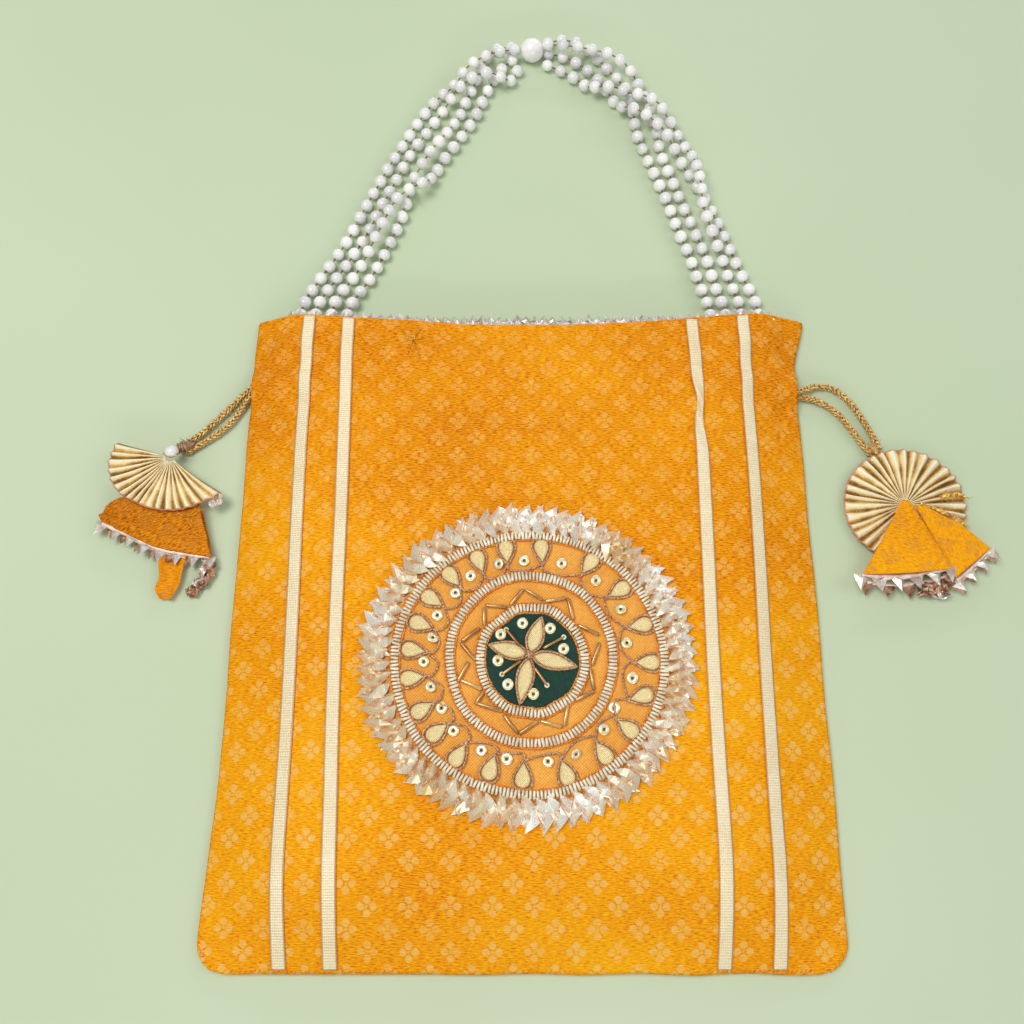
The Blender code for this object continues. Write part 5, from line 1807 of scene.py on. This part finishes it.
# %% Left fan
FAN_CENTRE = (-134.1, 57.6)
FAN_RIM = ((161.0, 21.5), (186.0, 23.1), (204.0, 23.0), (222.0, 22.2), (239.0, 20.6), (258.0, 20.3),
           (274.0, 20.5), (290.0, 21.1), (307.0, 21.8), (324.0, 24.2))
FAN_ANGLES = [a for a, _ in FAN_RIM]
FAN_REACH = [r for _, r in FAN_RIM]
fan = pleated_round("left_tissue_fan", FAN_CENTRE, 161.0, 163.0, 18,
                    lambda d: float(np.interp(d, FAN_ANGLES, FAN_REACH)), lambda d: 7.5, 1.5, 121)
dress(fan, gold_tissue, "gilt_cloth", "left_fan")
print("fan:", len(fan.data.polygons), "faces")

# %% Right rosette
ROSETTE_CENTRE = (138.8, 41.0)
rosette = pleated_round("right_tissue_rosette", ROSETTE_CENTRE, 90.0, 360.0, 34,
                        lambda d: 22.4 + 0.45 * math.sin(math.radians(d) * 2.0 + 0.6), lambda d: 2.1, 1.5, 122)
dress(rosette, gold_tissue, "gilt_cloth", "right_rosette")
print("rosette:", len(rosette.data.polygons), "faces")

# %% [markdown]
# ### Brocade cones
# Each cone is a brocade sheet rolled flat: its section is a low oval that grows from the
# top to the hem. The hem carries a narrow rose band, and folded metal points hang from
# it. The left cone was squashed, so its hem is folded back in a thick lip, and a curl of
# brocade and a crumple of lace hang out below.

# %% Cone of cloth
def cloth_cone(name, left, right, base, height, turn, rows=40, around=56, wrinkle=0.18, seed=1, bulge=0.0):
    """A flattened cone between two side lines, each a list of (x, y) from the top to the hem."""
    shares = np.linspace(0.0, 1.0, rows)
    lines = []
    for side in (left, right):
        side = np.array(side, dtype=float)
        at = np.linspace(0.0, 1.0, len(side))
        lines.append(np.stack([np.interp(shares, at, side[:, i]) for i in range(2)], axis=1))
    angles = np.linspace(0.0, 2.0 * np.pi, around, endpoint=False)
    c, s = math.cos(turn), math.sin(turn)
    points = []
    uvs = []
    for r, share in enumerate(shares):
        a, b = lines[0][r], lines[1][r]
        across = 0.5 - 0.5 * np.cos(angles)
        x = a[0] + (b[0] - a[0]) * across
        y = a[1] + (b[1] - a[1]) * across
        hem = b - a
        down = np.array((hem[1], -hem[0])) / max(1e-6, np.hypot(*hem))
        sag = bulge * share * np.sin(np.pi * across)
        x = x + down[0] * sag
        y = y + down[1] * sag
        tall = 0.5 * height * (0.35 + 0.65 * share)
        folds = wrinkle * waves(x, y, 11.0, seed) * share
        z = base + 0.5 * height + np.sin(angles) * tall
        z = z + np.where(np.sin(angles) > 0.0, folds, 0.0)
        points.append(np.stack([x, y, z], axis=1))
        lay = np.where(np.sin(angles) >= 0.0, 0.0, 60.0)
        uvs.append(np.stack([c * x - s * y + lay, s * x + c * y], axis=1))
    faces = grid_faces(rows, around, True)
    made = mesh_object(name, np.concatenate(points), faces, uvs=np.concatenate(uvs))
    top = [p for p in made.data.polygons if p.center.z > (base + 0.5 * height) * MM]
    if sum(p.normal.z * p.area for p in top) < 0.0:
        made.data.flip_normals()
    return thicken(made, 0.45)


FRONT_CONE = (((136.4, 41.8), (128.6, 28.6), (118.9, 13.4)), ((139.6, 40.6), (146.0, 27.4), (151.6, 15.6)))
BACK_CONE = (((141.6, 39.4), (147.4, 26.0), (153.0, 12.6)), ((143.6, 40.6), (158.0, 32.4), (166.8, 23.6)))
right_back = cloth_cone("right_cone_back", *BACK_CONE, 3.1, 2.9, 0.9, seed=131)
dress(right_back, lit_brocade, "brocade", "right_skirt_back")
right_front = cloth_cone("right_cone_front", *FRONT_CONE, 4.2, 3.6, 0.35, seed=132, bulge=0.9)
dress(right_front, lit_brocade, "brocade", "right_skirt_front")

# %% Hem bands and metal points
hem_point = pattern("hem_point", [outward(([
    (-2.7, 0.0, -0.3), (2.7, 0.0, -0.3), (0.0, -4.9, -0.3), (0.0, -1.2, 1.1), (-2.6, 0.9, 0.0),
    (2.6, 0.9, 0.0)],
    [(0, 2, 3), (1, 3, 2), (4, 0, 3, 5), (5, 3, 1), (0, 4, 5, 1, 2)]))], smooth=False)


def hem(name, line, z, pitch, seed, band_wide=0.75, shine=None, size=1.0):
    """A band along a hem line and the metal points below it; the line runs left to right."""
    flat = smooth_route([(x, y, z) for x, y in line], 0.7)
    along = np.gradient(flat[:, :2], axis=0)
    along /= np.linalg.norm(along, axis=1)[:, None]
    down = np.stack([along[:, 1], -along[:, 0]], axis=1)
    rows = []
    for share, rise in ((-0.9, 0.1), (0.0, 0.3), (0.6, 0.25), (1.0, 0.0)):
        ripple = 0.3 * waves(flat[:, 0], flat[:, 1], 4.0, seed)
        wide = band_wide * (1.0 + 0.35 * waves(flat[:, 0], flat[:, 1], 7.0, seed + 3))
        rows.append(np.stack([flat[:, 0] + down[:, 0] * wide * share, flat[:, 1] + down[:, 1] * wide * share,
                              flat[:, 2] + rise + ripple * max(0.0, share)], axis=1))
    band = face_up(mesh_object(name, np.concatenate(rows), grid_faces(len(rows), len(flat))))
    band = thicken(band, 0.3)
    band.data.materials.append(rose_band)
    low = flat.copy()
    low[:, :2] += down * band_wide * 0.7
    low[:, 2] -= 0.4
    points = row(name + "_points", low, hem_point, pitch, shine or silver_lace, size=(size, size, size),
                 spread=(20.0, 16.0, 9.0), size_spread=0.1, seed=seed)
    join_into(band, [points])
    return dress(band, rose_band, "silver_trim")


gilt_shred = foil_finish("gilt_shred", tone(176, 112, 40), tone(255, 214, 120), 0.3, 400.0, 0.6)
rose_band = foil_finish("rose_band", tone(214, 172, 152), tone(252, 232, 216), 0.4, 300.0, 0.3, 0.0002)
for title, line, z, pitch, seed, options in (
        ("right_front_hem", ((118.6, 13.4), (127.0, 12.8), (136.0, 13.2), (144.0, 14.8), (151.4, 16.4)),
         5.8, 6.6, 141, {"band_wide": 1.2}),
        ("right_front_hem_low", ((121.0, 11.0), (131.0, 10.0), (143.0, 11.4), (151.0, 13.8)),
         3.9, 6.4, 142, {"size": 0.94, "shine": rose_foil}),
        ("right_back_hem", ((153.2, 11.6), (157.0, 14.6), (162.0, 18.9), (166.8, 23.2)),
         4.4, 5.4, 143, {"size": 0.88}),
        ("right_back_hem_low", ((153.6, 10.8), (158.6, 14.5), (166.8, 21.8)),
         3.1, 5.0, 144, {"size": 0.85, "shine": rose_foil})):
    hem(title, line, z, pitch, seed, **options)


# %% Crumpled lace
def crumple(name, route, wide, height, seed, finish):
    """A strip of lace crushed along a route."""
    flat = smooth_route(route, 0.35)
    along = np.gradient(flat[:, :2], axis=0)
    along /= np.linalg.norm(along, axis=1)[:, None]
    side = np.stack([-along[:, 1], along[:, 0]], axis=1)
    rows = []
    count = 16
    for k in range(count):
        v = -1.0 + 2.0 * k / (count - 1)
        jag = 0.35 * wide * waves(flat[:, 0] * 2.1, flat[:, 1] * 2.1 + 3.0 * v, 5.0, seed)
        x = flat[:, 0] + side[:, 0] * (v * wide + jag)
        y = flat[:, 1] + side[:, 1] * (v * wide + jag)
        z = flat[:, 2] + height * waves(x, y, 3.1, seed + 1) + 0.4 * height * waves(x, y, 1.5, seed + 2)
        rows.append(np.stack([x, y, np.maximum(z, 0.25)], axis=1))
    made = face_up(mesh_object(name, np.concatenate(rows), grid_faces(count, len(flat)), smooth=False))
    made = thicken(made, 0.22)
    return dress(made, finish, "silver_trim")


crumple("right_crumpled_lace", ((151.0, 12.4, 3.2), (147.6, 9.4, 3.0), (143.0, 8.6, 2.8), (139.4, 8.8, 2.6)),
        2.6, 1.3, 151, rose_foil)
crumple("right_crumpled_tip", ((145.6, 8.0, 2.2), (147.4, 6.8, 2.2), (150.0, 8.6, 2.4)),
        2.2, 1.1, 154, silver_lace)


# %% Left cone, its folded hem, curl and lace
shaded_brocade = brocade_finish("shaded_brocade", (252, 172, 22), (224, 134, 8), (140, 70, 2),
                                (226, 152, 56), (184, 106, 30))
LEFT_TOP = ((-152.6, 43.4), (-146.0, 44.0), (-138.0, 43.0), (-130.0, 42.0), (-122.6, 40.6))
LEFT_HEM = ((-158.4, 33.8), (-148.0, 28.9), (-137.5, 24.2), (-127.0, 21.9), (-116.4, 20.2))
LEFT_MIDDLE = ((-157.6, 39.4), (-147.0, 37.2), (-138.0, 34.6), (-128.0, 32.4), (-119.4, 30.0))


def evenly(line, count):
    """A line as that many points at even steps along its smooth route."""
    flat = np.array(smooth_route(line, 0.5))
    at = np.linspace(0.0, 1.0, count)
    own = np.linspace(0.0, 1.0, len(flat))
    return np.stack([np.interp(at, own, flat[:, i]) for i in range(3)], axis=1)


def left_skirt_sheet():
    """The squashed cone: a top leaf from under the fan to the hem, turned under it and back."""
    columns = 90
    at = np.linspace(0.0, 1.0, columns)
    guides = [evenly([(x, y, z) for x, y in line], columns)
              for line, z in ((LEFT_TOP, 5.2), (LEFT_MIDDLE, 5.6), (LEFT_HEM, 4.6))]

    def between_guides(t):
        a, b, c = guides
        return (1 - t) * (1 - 2 * t) * a + 4 * t * (1 - t) * b + t * (2 * t - 1) * c

    def slanted(p, right, up):
        return np.stack([0.94 * p[:, 0] + 0.34 * p[:, 1] + right,
                         -0.34 * p[:, 0] + 0.94 * p[:, 1] + up], axis=1)

    levels = []
    uvs = []
    for share in np.linspace(0.0, 1.0, 40):
        p = between_guides(share)
        lip = math.exp(-((share - 0.84) / 0.09) ** 2)
        end = np.exp(-((at - 0.03) / 0.12) ** 2)
        dip = math.exp(-((share - 0.62) / 0.09) ** 2)
        p[:, 2] += 1.1 * lip - 0.9 * dip + 0.5 * waves(p[:, 0], p[:, 1], 12.0, 161) - 1.6 * end * (1.0 - lip)
        levels.append(p)
        uvs.append(slanted(p, 0.0, 4.0))
    for share in np.linspace(0.0, 1.0, 26)[1:]:
        p = between_guides(1.0 - share * 0.9)
        p[:, 2] = 4.2 - 3.0 * smooth_step(np.array(share * 3.0)) + 0.3 * waves(p[:, 0], p[:, 1], 12.0, 162)
        levels.append(p)
        uvs.append(slanted(p, 70.0, 0.0))
    made = mesh_object("left_tassel_skirt", np.concatenate(levels), grid_faces(len(levels), columns),
                       uvs=np.concatenate(uvs))
    top = sum(p.normal.z * p.area for p in made.data.polygons if p.center.z > 3.6 * MM)
    if top < 0.0:
        made.data.flip_normals()
    return thicken(made, 0.45)


left_cone = left_skirt_sheet()
dress(left_cone, shaded_brocade, "brocade", "left_skirt")
hem("left_hem", ((-158.0, 33.4), (-147.6, 28.9), (-137.4, 24.2), (-127.4, 22.0), (-117.2, 20.4)), 3.9, 5.9, 171,
    band_wide=0.8, size=0.86)
hem("left_hem_low", ((-155.0, 31.8), (-146.0, 27.6), (-136.6, 23.0), (-126.0, 20.8)), 2.8, 5.9, 172,
    band_wide=0.6, size=0.74, shine=rose_foil)


CURL_STEPS = 44
CURL_LEFT = ((-135.6, 24.0), (-136.0, 20.0), (-135.2, 13.1), (-136.4, 8.8), (-134.4, 5.6))
CURL_RIGHT = ((-125.4, 22.0), (-126.4, 18.6), (-127.0, 14.0), (-128.0, 9.4), (-130.4, 5.0))


def cloth_curl(name, left, right, seed):
    """A strip of brocade between two side lines, both its edges curled up like a gutter."""
    a = evenly([(x, y, 0.0) for x, y in left], CURL_STEPS)
    b = evenly([(x, y, 0.0) for x, y in right], CURL_STEPS)
    at = np.linspace(0.0, 1.0, CURL_STEPS)
    rows = []
    uvs = []
    for k in range(26):
        v = k / 25
        p = a + (b - a) * v
        edge = abs(2.0 * v - 1.0)
        z = 0.9 + 2.6 * edge ** 2.2 + 0.35 * waves(p[:, 0], p[:, 1], 5.0, seed) - 0.9 * edge ** 10
        z += 0.6 * (1.0 - at)
        rows.append(np.stack([p[:, 0], p[:, 1], np.maximum(z, 0.5)], axis=1))
        uvs.append(np.stack([p[:, 0] + 3.0, p[:, 1]], axis=1))
    made = face_up(mesh_object(name, np.concatenate(rows), grid_faces(26, CURL_STEPS), uvs=np.concatenate(uvs)))
    return thicken(made, 0.4)


curl = cloth_curl("left_brocade_curl", CURL_LEFT, CURL_RIGHT, 175)
dress(curl, shaded_brocade, "brocade", "left_curl")
crumple("left_crumpled_lace",
        ((-117.8, 21.0, 2.8), (-117.4, 16.4, 2.6), (-119.0, 12.4, 2.4), (-122.0, 9.2, 2.0), (-125.2, 7.6, 1.6)),
        2.0, 1.1, 181, rose_foil)
crumple("left_crumpled_inner", ((-119.2, 19.6, 3.0), (-119.6, 14.6, 2.8), (-122.6, 10.4, 2.4)),
        1.2, 0.8, 184, silver_lace)
crumple("fan_tip_lace", ((-114.6, 44.0, 6.6), (-115.6, 41.6, 6.2), (-118.4, 39.4, 5.6)),
        1.5, 0.8, 187, silver_lace)

# %% [markdown]
# ### Threads and frays
# Loose ends tell the eye that this is hand sewing: curled gold threads below the fan,
# frayed wire on the rosette's rim, and the small pearl that hides the fan's knot.

# %% Small pearl and curled threads
tassel_pearl = shape_object("left_small_pearl", [pebble_parts(2.6, 2.4, 2.2, 12, 18, (-134.0, 60.3, 7.2), 0.3)])
dress(tassel_pearl, pearl, "pearl", "left_tassel_pearl")
collar_route = [(-134.0 + 2.7 * math.cos(a), 59.7 + 1.5 * math.sin(a), 7.9 + 0.4 * math.sin(a))
                for a in np.linspace(math.pi, 2.0 * math.pi, 14)]
pearl_collar = closed_tube("pearl_collar", collar_route, 0.35, 6)
dress(pearl_collar, rose_cord, "braid")


def curled_threads(name, starts, radius, finish, seed):
    """Fine springy threads; each start is (x, y, z, angle in degrees, length, curl)."""
    rng = np.random.default_rng(seed)
    parts = []
    for x, y, z, angle, long, curl_rate in starts:
        places = []
        px, py = x, y
        a = math.radians(angle)
        steps = 26
        for k in range(steps):
            places.append((px, py, max(0.2, z + 0.5 * math.sin(k * 0.5 + x))))
            a += math.radians(curl_rate) / steps * (1.0 + 0.5 * rng.uniform(-1.0, 1.0))
            px += long / steps * math.cos(a)
            py += long / steps * math.sin(a)
        parts.append(tube_parts(places, radius, 5))
    return dress(shape_object(name, parts), finish, "braid")


left_starts = ((-120.5, 38.2, 7.4, 250.0, 17.0, -170.0), (-121.6, 37.4, 7.2, 215.0, 15.0, 150.0),
               (-118.8, 38.0, 7.0, 235.0, 12.0, -230.0), (-123.0, 37.6, 7.3, 200.0, 11.0, 200.0))
curled_threads("left_curled_threads", left_starts, 0.13, gold_thread, 191)
crumple("rosette_gold_edge", ((151.6, 43.4, 4.4), (156.0, 44.3, 4.2), (161.0, 44.0, 3.4)),
        0.9, 0.6, 194, gilt_shred)
crumple("rosette_gold_cord", ((143.4, 40.4, 5.0), (149.0, 38.6, 4.8), (154.6, 35.8, 4.4), (160.4, 33.0, 3.8)),
        0.7, 0.45, 195, gilt_shred)
fray_starts = []
fray_chance = np.random.default_rng(192)
for k in range(14):
    t = fray_chance.uniform(0.0, 1.0)
    fray_starts.append((151.0 + 9.0 * t, 43.4 + fray_chance.normal(0.0, 0.5), 4.4,
                        fray_chance.uniform(-60.0, 60.0), fray_chance.uniform(1.6, 3.6),
                        fray_chance.uniform(-240.0, 240.0)))
curled_threads("rosette_frays", fray_starts, 0.12, gold_thread, 193)
print("tassels done")

# %% [markdown]
# ## Patterns put away

# %% Patterns put away
for shape in PATTERNS:
    bpy.data.objects.remove(shape)
print("patterns put away:", len(PATTERNS))
